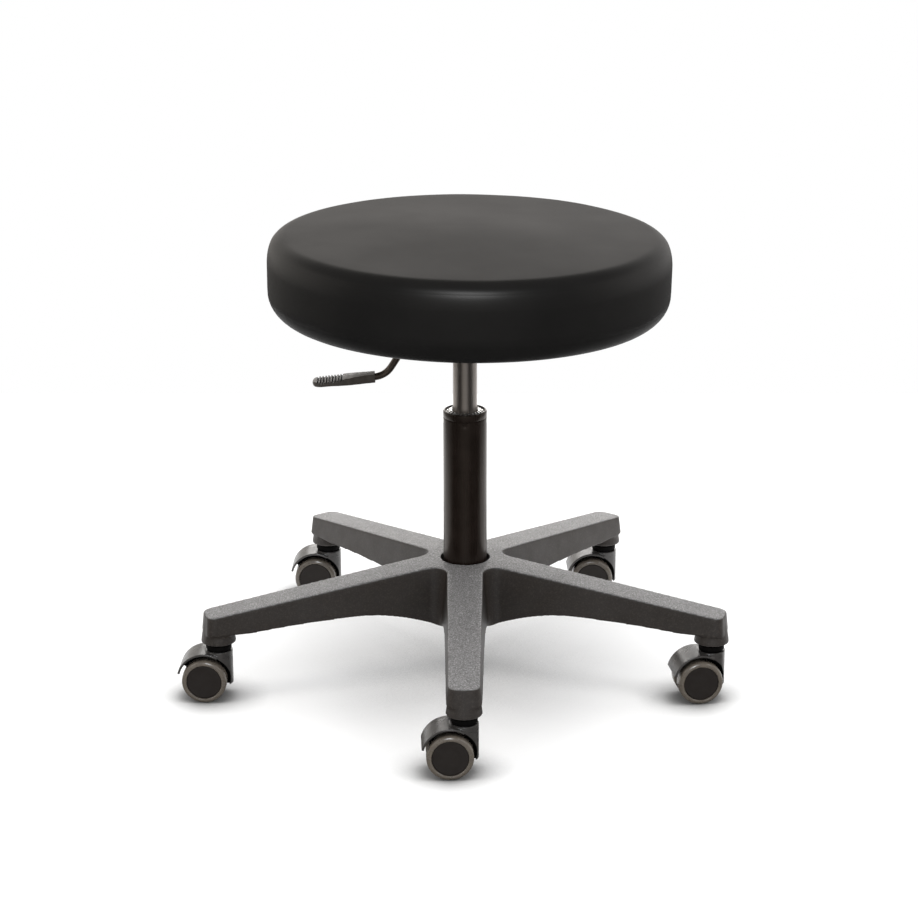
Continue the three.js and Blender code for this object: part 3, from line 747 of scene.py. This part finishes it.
def make_base():
    body = combined(drafted_star("base_shell", 0), under_roof("roof", 0), "INTERSECT")
    combined(body, arch("arch"), "DIFFERENCE")
    hollow = combined(drafted_star("hollow", BASE_WALL), under_roof("inner_roof", BASE_WALL), "INTERSECT")
    hollow.data.transform(Matrix.Translation((0, 0, -0.5 * MM)))
    combined(hollow, rod("hub_core", COLUMN_RADIUS + 9, CUT_FOOT, HUB_TOP + 2), "DIFFERENCE")
    for i in range(ARMS):
        core = at_stem(rod("core", SOCKET_RADIUS - 0.5, CUT_FOOT, HUB_TOP), i)
        combined(hollow, core, "DIFFERENCE")
        for radius in RIB_RADII:
            near = (radius - RIB_HALF, -RIB_REACH, CUT_FOOT)
            rib = block("rib", near, (radius + RIB_HALF, RIB_REACH, HUB_TOP))
            rib.data.transform(Matrix.Rotation(arm_angle(i), 4, "Z"))
            combined(hollow, rib, "DIFFERENCE")
    combined(body, hollow, "DIFFERENCE")
    for i in range(ARMS):
        top = ARM_TIP_TOP - 2
        section = [(0, SOCKET_BOTTOM), (SOCKET_RADIUS, SOCKET_BOTTOM), (TIP_FACE, top), (0, top)]
        combined(body, at_stem(lathe("socket", section, 64), i), "UNION")
        combined(body, at_stem(rod("bore", STEM_BORE, HUB_BOTTOM - 1, ARM_TIP_TOP - 9), i), "DIFFERENCE")
    bore = COLUMN_RADIUS + 0.3
    mouth = [
        (0, CUT_FOOT),
        (bore, CUT_FOOT),
        (bore, HUB_TOP - 8),
        (HUB_MOUTH, HUB_TOP - 5),
        (HUB_MOUTH, HUB_TOP + 3),
        (0, HUB_TOP + 3),
    ]
    combined(body, lathe("mouth", mouth, FINE), "DIFFERENCE")
    softened(body, voxel=1.3, rounds=4)
    return place(body, "base", "base_nylon", "nylon", "base")


# ---- Casters ----


def arc(x, z, radius, start, end, steps):
    """Points of an arc in the X-Z plane, in degrees from +X towards +Z."""
    points = []
    for k in range(steps + 1):
        angle = math.radians(start + (end - start) * k / steps)
        points.append((x + radius * math.cos(angle), z + radius * math.sin(angle)))
    return points


def mesh_only(obj):
    """The object's mesh, without the object."""
    mesh = obj.data
    bpy.data.objects.remove(obj)
    return mesh


def housing_mesh():
    """The mudguard over both wheels, the web between them and the upright boss round the stem."""
    centre = WHEEL_RADIUS + HOOD_RISE
    outer = arc(-TRAIL, centre, HOOD_OUTER, 60, 166, 40)
    inner = arc(-TRAIL, centre, HOOD_INNER, 166, 60, 40)
    body = slab("caster_housing", [*outer, *inner], HOOD_HALF)
    boss = arc(-TRAIL, WHEEL_RADIUS, 9, 0, 150, 16)
    rim = arc(-TRAIL, WHEEL_RADIUS, HOOD_INNER + HOOD_RISE, 150, 0, 32)
    combined(body, slab("web", [*boss, *rim][::-1], WEB_HALF), "UNION")
    combined(body, rod("pillar", PILLAR_RADIUS, PILLAR_BOTTOM, PILLAR_TOP, 64), "UNION")
    for low, high in ((-WHEEL_OUTER, -WEB_HALF), (WEB_HALF, WHEEL_OUTER)):
        room = cross_bar("room", HOOD_INNER - 0.4, low, high, -TRAIL, WHEEL_RADIUS + 1, 80)
        combined(body, room, "DIFFERENCE")
    axle = cross_bar("axle_bore", AXLE_BORE, -WHEEL_OUTER, WHEEL_OUTER, -TRAIL, WHEEL_RADIUS, 32)
    combined(body, axle, "DIFFERENCE")
    softened(body, voxel=0.55, rounds=3)
    return mesh_only(body)


def collar_mesh():
    """The ring between the boss and the base's socket; its near-black material is painted shade under the
    socket.
    """
    corners = [
        (NECK_BORE, PILLAR_TOP - 2, 0),
        (NECK_RADIUS - 1, PILLAR_TOP - 2, 0),
        (NECK_RADIUS - 1, PILLAR_TOP + 1.2, 0.4),
        (NECK_RADIUS, PILLAR_TOP + 2.2, 0.5),
        (NECK_RADIUS, NECK_TOP, 0.8),
        (NECK_BORE, NECK_TOP, 0.5),
    ]
    return mesh_only(lathe("caster_collar", filleted(corners, 4), 64))


def wheel_meshes():
    """Tread and hub, turned round Z with height 0 on the caster's middle plane."""
    tread_section = [
        (CAP_RADIUS + 0.3, WHEEL_INNER, 0.6),
        (WHEEL_RADIUS, WHEEL_INNER, 1.6),
        (WHEEL_RADIUS, WHEEL_OUTER - 0.6, 4.2),
        (WHEEL_RADIUS - 3.4, WHEEL_OUTER, 1.0),
        (CAP_RADIUS + 1.1, WHEEL_OUTER, 0.5),
        (CAP_RADIUS + 0.3, WHEEL_OUTER - 0.9, 0.3),
    ]
    tread = lathe("wheel_tread", filleted(tread_section, 7), FINE)
    face = WHEEL_OUTER - 0.9
    hub_section = [
        (AXLE_BORE, WHEEL_INNER),
        (7, WHEEL_INNER),
        (7.4, WHEEL_INNER + 1.5),
        (CAP_RADIUS - 1.5, WHEEL_INNER + 1.5),
        (CAP_RADIUS - 1.2, WHEEL_INNER),
        (CAP_RADIUS, WHEEL_INNER),
        (CAP_RADIUS, face - 0.6),
        (CAP_RADIUS - 0.3, face - 0.15),
        (CAP_RADIUS - 0.8, face),
        (CAP_RADIUS - 1.4, face - 0.05),
        (CAP_RADIUS * 0.6, face - 0.35),
        (0, face - 0.5),
        (0, face - 3),
        (AXLE_BORE, face - 3),
    ]
    hub = lathe("wheel_hub", hub_section, FINE)
    return mesh_only(tread), mesh_only(hub)


def new_copy(name, mesh, matrix):
    obj = bpy.data.objects.new(name, mesh)
    add_to_scene(obj)
    obj.matrix_world = matrix
    return obj


def make_casters():
    housing = housing_mesh()
    collar = collar_mesh()
    tread, hub = wheel_meshes()
    for i in range(1, ARMS + 1):
        name = f"caster_{i}"
        stem = Vector(joints[f"{name}_swivel"]["pos_m"])
        axle = Vector(joints[f"{name}_left_spin"]["pos_m"])
        axis = Vector(joints[f"{name}_left_spin"]["axis"])
        turn = Matrix.Rotation(math.atan2(-axis.x, axis.y), 4, "Z")
        stand = Matrix.Translation((stem.x, stem.y, 0)) @ turn
        body = new_copy(f"{name}_shell", housing, stand)
        place(body, name, "caster_plastic", "caster", f"{name}_housing")
        ring = new_copy(f"{name}_collar", collar, stand)
        # The collar takes the near-black painted shade
        place(ring, name, "caster_plastic", "collar")
        for side, lean in zip(SIDES, (-90, 90)):
            laid = Matrix.Translation(axle) @ turn @ Matrix.Rotation(math.radians(lean), 4, "X")
            wheel = f"{name}_{side}"
            tyre = new_copy(f"{wheel}_tyre", tread, laid)
            place(tyre, f"{wheel}_wheel", "wheel_tread", "tread", f"{wheel}_tread")
            disc = new_copy(f"{wheel}_disc", hub, laid)
            place(disc, f"{wheel}_wheel", "wheel_plastic", "cap", f"{wheel}_hub")


# ---- Column ----

TUBE_TOP = 314.5
TUBE_BOTTOM = 62
TUBE_WALL = 2
TUBE_FLOOR = TUBE_BOTTOM + 3
ROD_HOLE = 6.5
DIMPLES = 4
DIMPLE_RADIUS = 4
DIMPLE_DEPTH = 1.1
DIMPLE_HEIGHT = TUBE_TOP - 12.5
BUSHING_FOOT = TUBE_TOP - 75
NOTCHES = 24
NOTCH_DEPTH = 1.1
CYLINDER_RADIUS = 14
TAPER_RADIUS = 13.2
TAPER_START = 318
CYLINDER_TOP = 405
CYLINDER_BOTTOM = 95
CYLINDER_BORE = 12
CYLINDER_CEILING = 292
VALVE_BORE = 4.3
VALVE_SEAT = CYLINDER_TOP - 20


def make_outer_tube():
    """Painted tube with a rolled rim, a shallow crimp line and dimples punched in to hold the bushing."""
    outer = COLUMN_RADIUS
    inner = outer - TUBE_WALL
    lip = filleted(
        [
            (outer - 0.3, TUBE_TOP - 7.5, 0),
            (outer, TUBE_TOP - 6.6, 0),
            (outer, TUBE_TOP, 1.7),
            (outer - 2.6, TUBE_TOP, 0.8),
            (outer - 2.6, TUBE_TOP - 2.6, 0),
            (inner, TUBE_TOP - 2.6, 0),
        ],
        6,
    )
    sides = [(outer, TUBE_TOP - 10 - k) for k in reversed(range(14))]
    section = [
        (ROD_HOLE, TUBE_BOTTOM),
        (outer - 1.5, TUBE_BOTTOM),
        (outer, TUBE_BOTTOM + 1.5),
        (outer, TUBE_TOP - 30),
        *sides,
        (outer, TUBE_TOP - 9),
        (outer - 0.7, TUBE_TOP - 8.3),
        *lip,
        (inner, TUBE_FLOOR),
        (ROD_HOLE, TUBE_FLOOR),
    ]
    tube = lathe("column_tube", section, 128)
    for vertex in tube.data.vertices:
        for k in range(DIMPLES):
            angle = math.tau * k / DIMPLES
            spot = Vector((outer * math.cos(angle), outer * math.sin(angle), DIMPLE_HEIGHT)) * MM
            near = (vertex.co - spot).length / MM
            if near < DIMPLE_RADIUS:
                depth = DIMPLE_DEPTH * (1 - (near / DIMPLE_RADIUS) ** 2) ** 2
                vertex.co -= Vector((math.cos(angle), math.sin(angle), 0)) * depth * MM
    return place(tube, "base", "column_paint", "column", "outer_tube")


def make_bushing():
    """Acetal guide with a bright pressed ring over it, notched all round."""
    inner = CYLINDER_RADIUS + 0.3
    outer = COLUMN_RADIUS - TUBE_WALL - 0.3
    body_top = TUBE_TOP - 4
    section = [(inner, BUSHING_FOOT), (outer, BUSHING_FOOT), (outer, body_top), (inner, body_top)]
    guide = lathe("guide_sleeve", section, FINE)
    place(guide, "base", "bushing_acetal", "acetal", "guide_bushing")
    low = TUBE_TOP - 3.6
    rim = filleted(
        [
            (inner + 0.5, low, 0),
            (outer - 0.7, low, 0),
            (outer - 0.7, TUBE_TOP - 1.4, 0.6),
            (outer - 3, TUBE_TOP - 0.6, 0.8),
            (inner + 2.2, TUBE_TOP + 0.6, 0.8),
            (inner + 0.5, TUBE_TOP - 0.2, 0.5),
        ],
        5,
    )
    ring = lathe("guide_ring", rim, FINE)
    for vertex in ring.data.vertices:
        radius = math.hypot(vertex.co.x, vertex.co.y) / MM
        turn = math.atan2(vertex.co.y, vertex.co.x) * NOTCHES / math.tau
        if vertex.co.z / MM > TUBE_TOP - 2 and radius > inner + 3 and abs(turn - round(turn)) < 0.2:
            vertex.co.z -= NOTCH_DEPTH * MM
    shade(ring, 25)
    return place(ring, "base", "bushing_acetal", "bright")


def make_cylinder():
    """Steel cylinder with a rolled lower edge and a long taper that wedges in the seat's socket."""
    section = [
        (CYLINDER_BORE, CYLINDER_BOTTOM),
        (CYLINDER_RADIUS - 1, CYLINDER_BOTTOM),
        (CYLINDER_RADIUS, CYLINDER_BOTTOM + 1.5),
        (CYLINDER_RADIUS, TAPER_START - 1),
        (CYLINDER_RADIUS - 0.02, TAPER_START + 1),
        (TAPER_RADIUS, CYLINDER_TOP - 1),
        (TAPER_RADIUS - 1, CYLINDER_TOP),
        (VALVE_BORE, CYLINDER_TOP),
        (VALVE_BORE, VALVE_SEAT),
        (0, VALVE_SEAT),
        (0, CYLINDER_CEILING),
        (CYLINDER_BORE, CYLINDER_CEILING),
    ]
    cylinder = lathe("spring_cylinder", section, FINE)
    return place(cylinder, "seat", "cylinder_steel", "ground", "pressure_cylinder")


# ---- Seat ----

SEAT_RADIUS = 226
SEAT_BOTTOM = 427
SEAT_TOP = 525
SEAT_WAIST = 71.3
SEAT_SHIFT = 4.6
SEAT_LEAN = 0.68
LOW_ROUND = 30
LOW_INSET = 0.5
HIGH_ROUND = 19
HIGH_INSET = 7.2
CROWN = 5
CROWN_EDGE = 40
SEAT_SEGMENTS = 160
SEAT_RINGS = 24
BELLY_ROUND = 60
HELD_HEIGHT = 3
CLOTH_FRAMES = 20
MOVE_LIMIT = 24
MEAN_SHARE = 0.12
LOCAL_SHARE = 0.02
WAVE = 0.35
WAVE_SCALE = 14
BOARD_SHRINK = 0.94


def cushion_section():
    """The cushion's section with its crown, from the middle of the underside to the middle of the top."""
    rim = SEAT_TOP - CROWN
    corners = [
        (0, SEAT_BOTTOM, 0),
        (SEAT_RADIUS - LOW_INSET, SEAT_BOTTOM, LOW_ROUND),
        (SEAT_RADIUS, SEAT_BOTTOM + SEAT_WAIST, BELLY_ROUND),
        (SEAT_RADIUS - HIGH_INSET, rim, HIGH_ROUND),
        (0, rim, 0),
    ]
    section = filleted(corners, 12)[:-1]
    flat = SEAT_RADIUS - CROWN_EDGE
    crown = []
    for k in range(SEAT_RINGS + 1):
        reach = flat * (1 - k / SEAT_RINGS)
        crown.append((reach, rim + CROWN * (1 - (reach / flat) ** 2) ** 2))
    under = []
    for k in range(1, SEAT_RINGS):
        under.append((section[1][0] * k / SEAT_RINGS, SEAT_BOTTOM))
    return [section[0], *under, *section[1:], *crown]


def ring_of(index):
    """The ring of the lathed cushion that a vertex belongs to; the first vertex is the lower pole."""
    return (index - 1) // SEAT_SEGMENTS


def inflated(cushion):
    """Blows the cushion up as cloth under pressure, then keeps the share that taut vinyl over foam shows.

    Each ring keeps a small share of its own mean swelling and a smaller one of what differs round it.
    """
    cap = MOVE_LIMIT * MM
    vertices = cushion.data.vertices
    start = [vertex.co.copy() for vertex in vertices]
    held = cushion.vertex_groups.new(name="held")
    low = (SEAT_BOTTOM + HELD_HEIGHT) * MM
    held.add([v.index for v in vertices if v.co.z < low], 1.0, "REPLACE")
    modifier = cushion.modifiers.new("cloth", "CLOTH")
    cloth = modifier.settings
    cloth.vertex_group_mass = "held"
    cloth.use_pressure = True
    cloth.uniform_pressure_force = 4
    cloth.tension_stiffness = 60
    cloth.compression_stiffness = 60
    cloth.shear_stiffness = 30
    cloth.bending_stiffness = 8
    cloth.mass = 0.4
    cloth.effector_weights.gravity = 0
    modifier.collision_settings.use_collision = False
    scene = bpy.context.scene
    for number in range(1, CLOTH_FRAMES + 1):
        scene.frame_set(number)
    applied(cushion)
    scene.frame_set(1)
    rings = {}
    moves = []
    for vertex, before in zip(cushion.data.vertices, start):
        move = vertex.co - before
        if move.length > cap:
            move = move.normalized() * cap
        out = Vector((before.x, before.y, 0)).normalized()
        moves.append((move, out))
        rings.setdefault(ring_of(vertex.index), []).append((move.dot(out), move.z))
    for vertex, before, (move, out) in zip(cushion.data.vertices, start, moves):
        ring = rings[ring_of(vertex.index)]
        mean = out * (sum(r for r, z in ring) / len(ring))
        mean.z = sum(z for r, z in ring) / len(ring)
        vertex.co = before + mean * MEAN_SHARE + (move - mean) * LOCAL_SHARE
    return cushion


def fitted(cushion):
    """Brings the blown-up cushion back to its real radius and height."""
    heights = [v.co.z for v in cushion.data.vertices]
    widths = [math.hypot(v.co.x, v.co.y) for v in cushion.data.vertices]
    grow = SEAT_RADIUS * MM / max(widths)
    low = min(heights)
    rise = (SEAT_TOP - SEAT_BOTTOM) * MM / (max(heights) - low)
    for vertex in cushion.data.vertices:
        vertex.co.x *= grow
        vertex.co.y *= grow
        vertex.co.z = SEAT_BOTTOM * MM + (vertex.co.z - low) * rise
    return cushion


def unevenness(cushion):
    """The slight waviness of foam under hand-stretched vinyl."""
    for vertex in cushion.data.vertices:
        out = Vector((vertex.co.x, vertex.co.y, 0)) / (SEAT_RADIUS * MM)
        out.z = 1 if vertex.co.z > (SEAT_BOTTOM + SEAT_WAIST) * MM else 0
        vertex.co += out * noise.noise(vertex.co * WAVE_SCALE) * WAVE * MM
    return cushion


def lean():
    """The seat sits a little off centre and lower on its right side."""
    foot = Vector((0, 0, SEAT_BOTTOM * MM))
    turn = Matrix.Rotation(math.radians(SEAT_LEAN), 4, "Y")
    shift = Matrix.Translation((SEAT_SHIFT * MM, 0, 0))
    return shift @ Matrix.Translation(foot) @ turn @ Matrix.Translation(-foot)


def make_leaning_panels():
    """The board and the underside cover follow the cushion's lean."""
    shrink = Matrix.Diagonal((BOARD_SHRINK, BOARD_SHRINK, 1, 1))
    for node, slot, key in (
        ("seat_board", "board_plywood", "plywood"),
        ("underside_cover", "cover_cloth", "cloth"),
    ):
        mesh = frame["nodes"][node].data.copy()
        mesh.transform(lean() @ shrink)
        panel = new_copy(f"{node}_panel", mesh, Matrix())
        place(panel, "seat", slot, key, node)


def make_cushion():
    cushion = lathe("cushion", cushion_section(), SEAT_SEGMENTS)
    inflated(cushion)
    unevenness(fitted(cushion))
    smoothed(cushion, rounds=2)
    cushion.data.transform(lean())
    place(cushion, "seat", "seat_vinyl", "vinyl", "seat_cushion")
    return cushion


# ---- Lever ----

LEVER_RADIUS = 4.1
LEVER_COURSE = [
    (6, 0, 415.5),
    (-20, 0, 415.5),
    (-42, 0, 415.5),
    (-56, 0, 410.5),
    (-64, 0, 400),
    (-71, 0, 386),
    (-78, 0, 373.5),
    (-87, 0, 360.5),
    (-97, 0, 354.5),
    (-110, 0, 352.6),
    (-122, 0, 351.6),
]
HANDLE_INNER = Vector((-102, 0, 353))
HANDLE_OUTER = Vector((-172.8, 0, 347.5))
# Along the handle from its inner end: share of its length, half width, top and underside
HANDLE_SHAPE = [
    (0.0, 5.0, 5.6, -5.6),
    (0.12, 5.3, 5.4, -5.7),
    (0.3, 7.4, 4.8, -5.6),
    (0.42, 9.4, 4.0, -5.3),
    (0.55, 10.7, 3.2, -4.8),
    (0.7, 11.3, 2.5, -4.3),
    (0.85, 11.6, 2.2, -4.3),
    (1.0, 11.4, 1.9, -4.2),
]
PAD_TILT = 0.7
HANDLE_ROWS = 176
TIP_LENGTH = 11
TIP_EDGE = 3
GROOVES = 9
GROOVE_PITCH = 3.4
GROOVE_START = 0.92
GROOVE_DEPTH = 2.0
GROOVE_REACH = 2.5
GROOVE_SHARE = 0.5
PIVOT = (-42, 415.5)
EYE_RADIUS = 7
EYE_HALF = 7.5
PIN_HOLE = 2.8


def make_lever_rod():
    bar = tube_along("lever_bar", smooth_line(LEVER_COURSE, 8), LEVER_RADIUS)
    eye = cross_bar("eye", EYE_RADIUS, -EYE_HALF, EYE_HALF, *PIVOT)
    combined(bar, eye, "UNION")
    hole = cross_bar("hole", PIN_HOLE, -EYE_HALF - 1.5, EYE_HALF + 1.5, *PIVOT, 32)
    combined(bar, hole, "DIFFERENCE")
    shade(bar)
    return place(bar, "lever", "lever_steel", "blackened", "lever_rod")


def handle_shape_at(share):
    """Half width, top and underside at a share of the handle's length."""
    for (a, *low), (b, *high) in zip(HANDLE_SHAPE, HANDLE_SHAPE[1:]):
        if share <= b:
            t = (share - a) / (b - a)
            t = t * t * (3 - 2 * t)
            return [x + (y - x) * t for x, y in zip(low, high)]
    return list(HANDLE_SHAPE[-1][1:])


def closed_tip(left, half, top, foot):
    """Rounds the handle off where only the given length of it is left."""
    if left >= TIP_LENGTH:
        return half, top, foot
    seen_from_above = math.sqrt(max(0.0, 1 - ((TIP_LENGTH - left) / TIP_LENGTH) ** 2))
    seen_from_side = math.sqrt(max(0.0, 1 - (max(0.0, TIP_EDGE - left) / TIP_EDGE) ** 2))
    thin = max(0.2, seen_from_side)
    middle = (top + foot) / 2
    return max(0.6, half * seen_from_above), middle + (top - middle) * thin, middle + (foot - middle) * thin


def handle_loop(along, length):
    """The handle's section at a distance from its inner end."""
    half, top, foot = closed_tip(length - along, *handle_shape_at(along / length))
    groove = (length * GROOVE_START - along) / GROOVE_PITCH
    in_groove = 0 < groove < GROOVES and groove % 1 < GROOVE_SHARE
    low_round = min(1.6, half * 0.4)
    high_round = min(1.2, half * 0.4)
    corners = [
        (half, foot, low_round),
        (half, top + PAD_TILT, high_round),
        (-half, top - PAD_TILT, high_round),
        (-half, foot, low_round),
    ]
    loop = []
    for y, z in filleted(corners, 5):
        surface = top + PAD_TILT * y / half
        if in_groove and z > surface - GROOVE_REACH:
            z = min(z, surface - GROOVE_DEPTH)
        loop.append((-along, y, z))
    return loop


def make_handle():
    """A paddle that flattens and widens from a square socket, with grip grooves near its tip."""
    length = (HANDLE_OUTER - HANDLE_INNER).length
    droop = math.atan2(HANDLE_INNER.z - HANDLE_OUTER.z, HANDLE_INNER.x - HANDLE_OUTER.x)
    loops = [handle_loop(length * k / HANDLE_ROWS, length) for k in range(HANDLE_ROWS + 1)]
    handle = loft("lever_paddle", loops)
    normals_out = bmesh.new()
    normals_out.from_mesh(handle.data)
    bmesh.ops.recalc_face_normals(normals_out, faces=normals_out.faces)
    normals_out.to_mesh(handle.data)
    normals_out.free()
    handle.data.transform(Matrix.Rotation(-droop, 4, "Y"))
    handle.data.transform(Matrix.Translation(HANDLE_INNER * MM))
    shade(handle, 45)
    return place(handle, "lever", "handle_plastic", "handle", "lever_handle")


# ---- CAD pieces that keep their shape ----

KEPT = {
    "plate": ["mounting_plate", "taper_socket"],
    "acetal": ["valve_pin"],
    "ground": [
        "thrust_washer_lower",
        "thrust_ball_cage",
        "thrust_washer_upper",
        "rod_clip",
        "piston_rod",
        "piston",
    ],
    "rubber": ["bump_stop", "rod_seal_guide"],
    "zinc": [
        "lever_pivot",
        *[f"seat_bolt_{i}" for i in range(1, 5)],
        *[f"caster_{i}_stem" for i in range(1, ARMS + 1)],
        *[f"caster_{i}_axle" for i in range(1, ARMS + 1)],
    ],
}


def finish_kept_nodes():
    for key, names in KEPT.items():
        for name in names:
            paint(frame["nodes"][name], key)


# ---- Studio ----

AMBIENT = 1.25
WARM = (1.0, 0.95, 0.89)
PALE = (1.0, 0.97, 0.95)
# Direction's axis, its two ends and the light level at each end
SKY_RAMPS = [
    ("Y", -0.45, 0.15, 0.08, 0.9),
    ("Z", 0.4, 0.59, 1.0, 0.2),
    ("Z", -0.28, -0.05, 0.12, 1.0),
    ("Y", -0.8, -0.93, 0.0, 0.3),
    ("X", -0.6, 0.6, 0.0, 1.0),
]
SUN_POWER = 0.6
SUN_WIDTH = 32
SUN_TILT = (-4, 3)
# Place, the point it faces, width and height in metres, watts and colour
FRONT_BOX = ((0, -2.1, 1.85), (0, -0.2, 0.5), 0.6, 0.8, 40, (0.93, 0.96, 1.0))
BACK_BOX = ((0, 1.6, 0.6), (0, 0, 0.15), 1.3, 0.3, 5, (1.0, 0.98, 0.96))
LEFT_STRIP = ((-2.2, -0.9, 1.9), (0, 0, 0.1), 0.6, 1.2, 9, WARM)
RIGHT_STRIP = ((2.2, -0.9, 1.9), (0, 0, 0.1), 0.6, 1.2, 9, PALE)
CAMERA_PLACE = (0.012, -2.8165, 1.184)
CAMERA_LENS = 101.64
CAMERA_SENSOR = 36
CAMERA_PITCH = -18.25
CAMERA_YAW = 0.385
CAMERA_ROLL = -0.107
FLOOR_HALF = 820
FLOOR_FRONT = -660
FLOOR_SPLIT = -60
FLOOR_BACK = 1100


def make_floor():
    """A white floor in two pieces; the front one stays out of reflections, as if the room were dark."""
    finish = floor_white()
    for name, near, far in (("front_floor", FLOOR_FRONT, FLOOR_SPLIT), ("floor", FLOOR_SPLIT, FLOOR_BACK)):
        floor = mesh_object(
            name,
            [(-FLOOR_HALF, near, 0), (FLOOR_HALF, near, 0), (FLOOR_HALF, far, 0), (-FLOOR_HALF, far, 0)],
            [[0, 1, 2, 3]],
        )
        floor.data.materials.append(finish)
        floor.visible_glossy = name == "floor"


def make_world():
    """Bright low walls behind and at the sides, dim above and near the floor, with a glow far in front.

    Matt surfaces get the same light from all round, and the camera sees plain white.
    """
    world = bpy.data.worlds.new("studio")
    world.use_nodes = True
    bpy.context.scene.world = world
    sky = NodeTree(world.node_tree)
    back = sky.tree.nodes["Background"]
    split = sky.node("ShaderNodeSeparateXYZ")
    sky.link(sky.node("ShaderNodeTexCoord").outputs["Generated"], split.inputs["Vector"])
    behind, under_ceiling, over_floor, in_front, rightward = (
        sky.span(split.outputs[axis], *ends, curve="SMOOTHSTEP") for axis, *ends in SKY_RAMPS
    )
    walls = sky.product(sky.product(behind, under_ceiling), over_floor)
    shine = sky.math("ADD", walls, in_front)
    path = sky.node("ShaderNodeLightPath")
    soft = sky.node("ShaderNodeMix")
    soft.inputs["B"].default_value = AMBIENT
    sky.link(path.outputs["Is Diffuse Ray"], soft.inputs["Factor"])
    sky.link(shine, soft.inputs["A"])
    sky.link(soft.outputs["Result"], back.inputs["Strength"])
    tint = sky.mixed(rightward, (*WARM, 1), (*PALE, 1))
    sky.link(sky.mixed(path.outputs["Is Diffuse Ray"], tint, (1, 1, 1, 1)), back.inputs["Color"])
    plain = sky.node("ShaderNodeBackground")
    plain.inputs["Color"].default_value = (1, 1, 1, 1)
    plain.inputs["Strength"].default_value = 1.0
    choose = sky.node("ShaderNodeMixShader")
    sky.link(path.outputs["Is Camera Ray"], choose.inputs["Fac"])
    sky.link(back.outputs["Background"], choose.inputs[1])
    sky.link(plain.outputs["Background"], choose.inputs[2])
    sky.link(choose.outputs["Shader"], sky.tree.nodes["World Output"].inputs["Surface"])


def make_softbox(name, location, target, width, height, energy, color):
    box = bpy.data.lights.new(name, "AREA")
    box.shape = "RECTANGLE"
    box.size = width
    box.size_y = height
    box.energy = energy
    box.color = color
    lamp = bpy.data.objects.new(name, box)
    lamp.location = location
    lamp.rotation_euler = (Vector(target) - lamp.location).to_track_quat("-Z", "Y").to_euler()
    add_to_scene(lamp)
    return lamp


def make_lights():
    """A wide overhead light, a softbox over the camera, one behind and a strip on each side."""
    sun = bpy.data.lights.new("overhead", "SUN")
    sun.energy = SUN_POWER
    sun.angle = math.radians(SUN_WIDTH)
    lamp = bpy.data.objects.new("overhead", sun)
    lamp.rotation_euler = (math.radians(SUN_TILT[0]), math.radians(SUN_TILT[1]), 0)
    lamp.visible_glossy = False
    add_to_scene(lamp)
    front = make_softbox("front_box", *FRONT_BOX)
    front.visible_diffuse = False
    back = make_softbox("back_box", *BACK_BOX)
    back.visible_diffuse = False
    back.visible_camera = False
    strips = [make_softbox("left_strip", *LEFT_STRIP), make_softbox("right_strip", *RIGHT_STRIP)]
    not_on_seat = bpy.data.collections.new("not_on_seat")
    not_on_seat.objects.link(bpy.data.objects["cushion"])
    not_on_seat.collection_objects[0].light_linking.link_state = "EXCLUDE"
    for box in (back, *strips):
        box.light_linking.receiver_collection = not_on_seat


def make_camera():
    data = bpy.data.cameras.new("camera")
    data.lens = CAMERA_LENS
    data.sensor_width = CAMERA_SENSOR
    camera = bpy.data.objects.new("camera", data)
    camera.location = CAMERA_PLACE
    pitch = Matrix.Rotation(math.radians(90 + CAMERA_PITCH), 4, "X")
    yaw = Matrix.Rotation(math.radians(CAMERA_YAW), 4, "Z")
    roll = Matrix.Rotation(math.radians(CAMERA_ROLL), 4, "Z")
    camera.matrix_world = Matrix.Translation(camera.location) @ yaw @ pitch @ roll
    add_to_scene(camera)
    bpy.context.scene.camera = camera


make_camera()
make_world()
make_floor()
make_base()
make_casters()
make_outer_tube()
make_bushing()
make_cylinder()
make_cushion()
make_leaning_panels()
make_lever_rod()
make_handle()
make_lights()
finish_kept_nodes()
bpy.context.scene.view_settings.view_transform = "Standard"
bpy.context.view_layer.update()
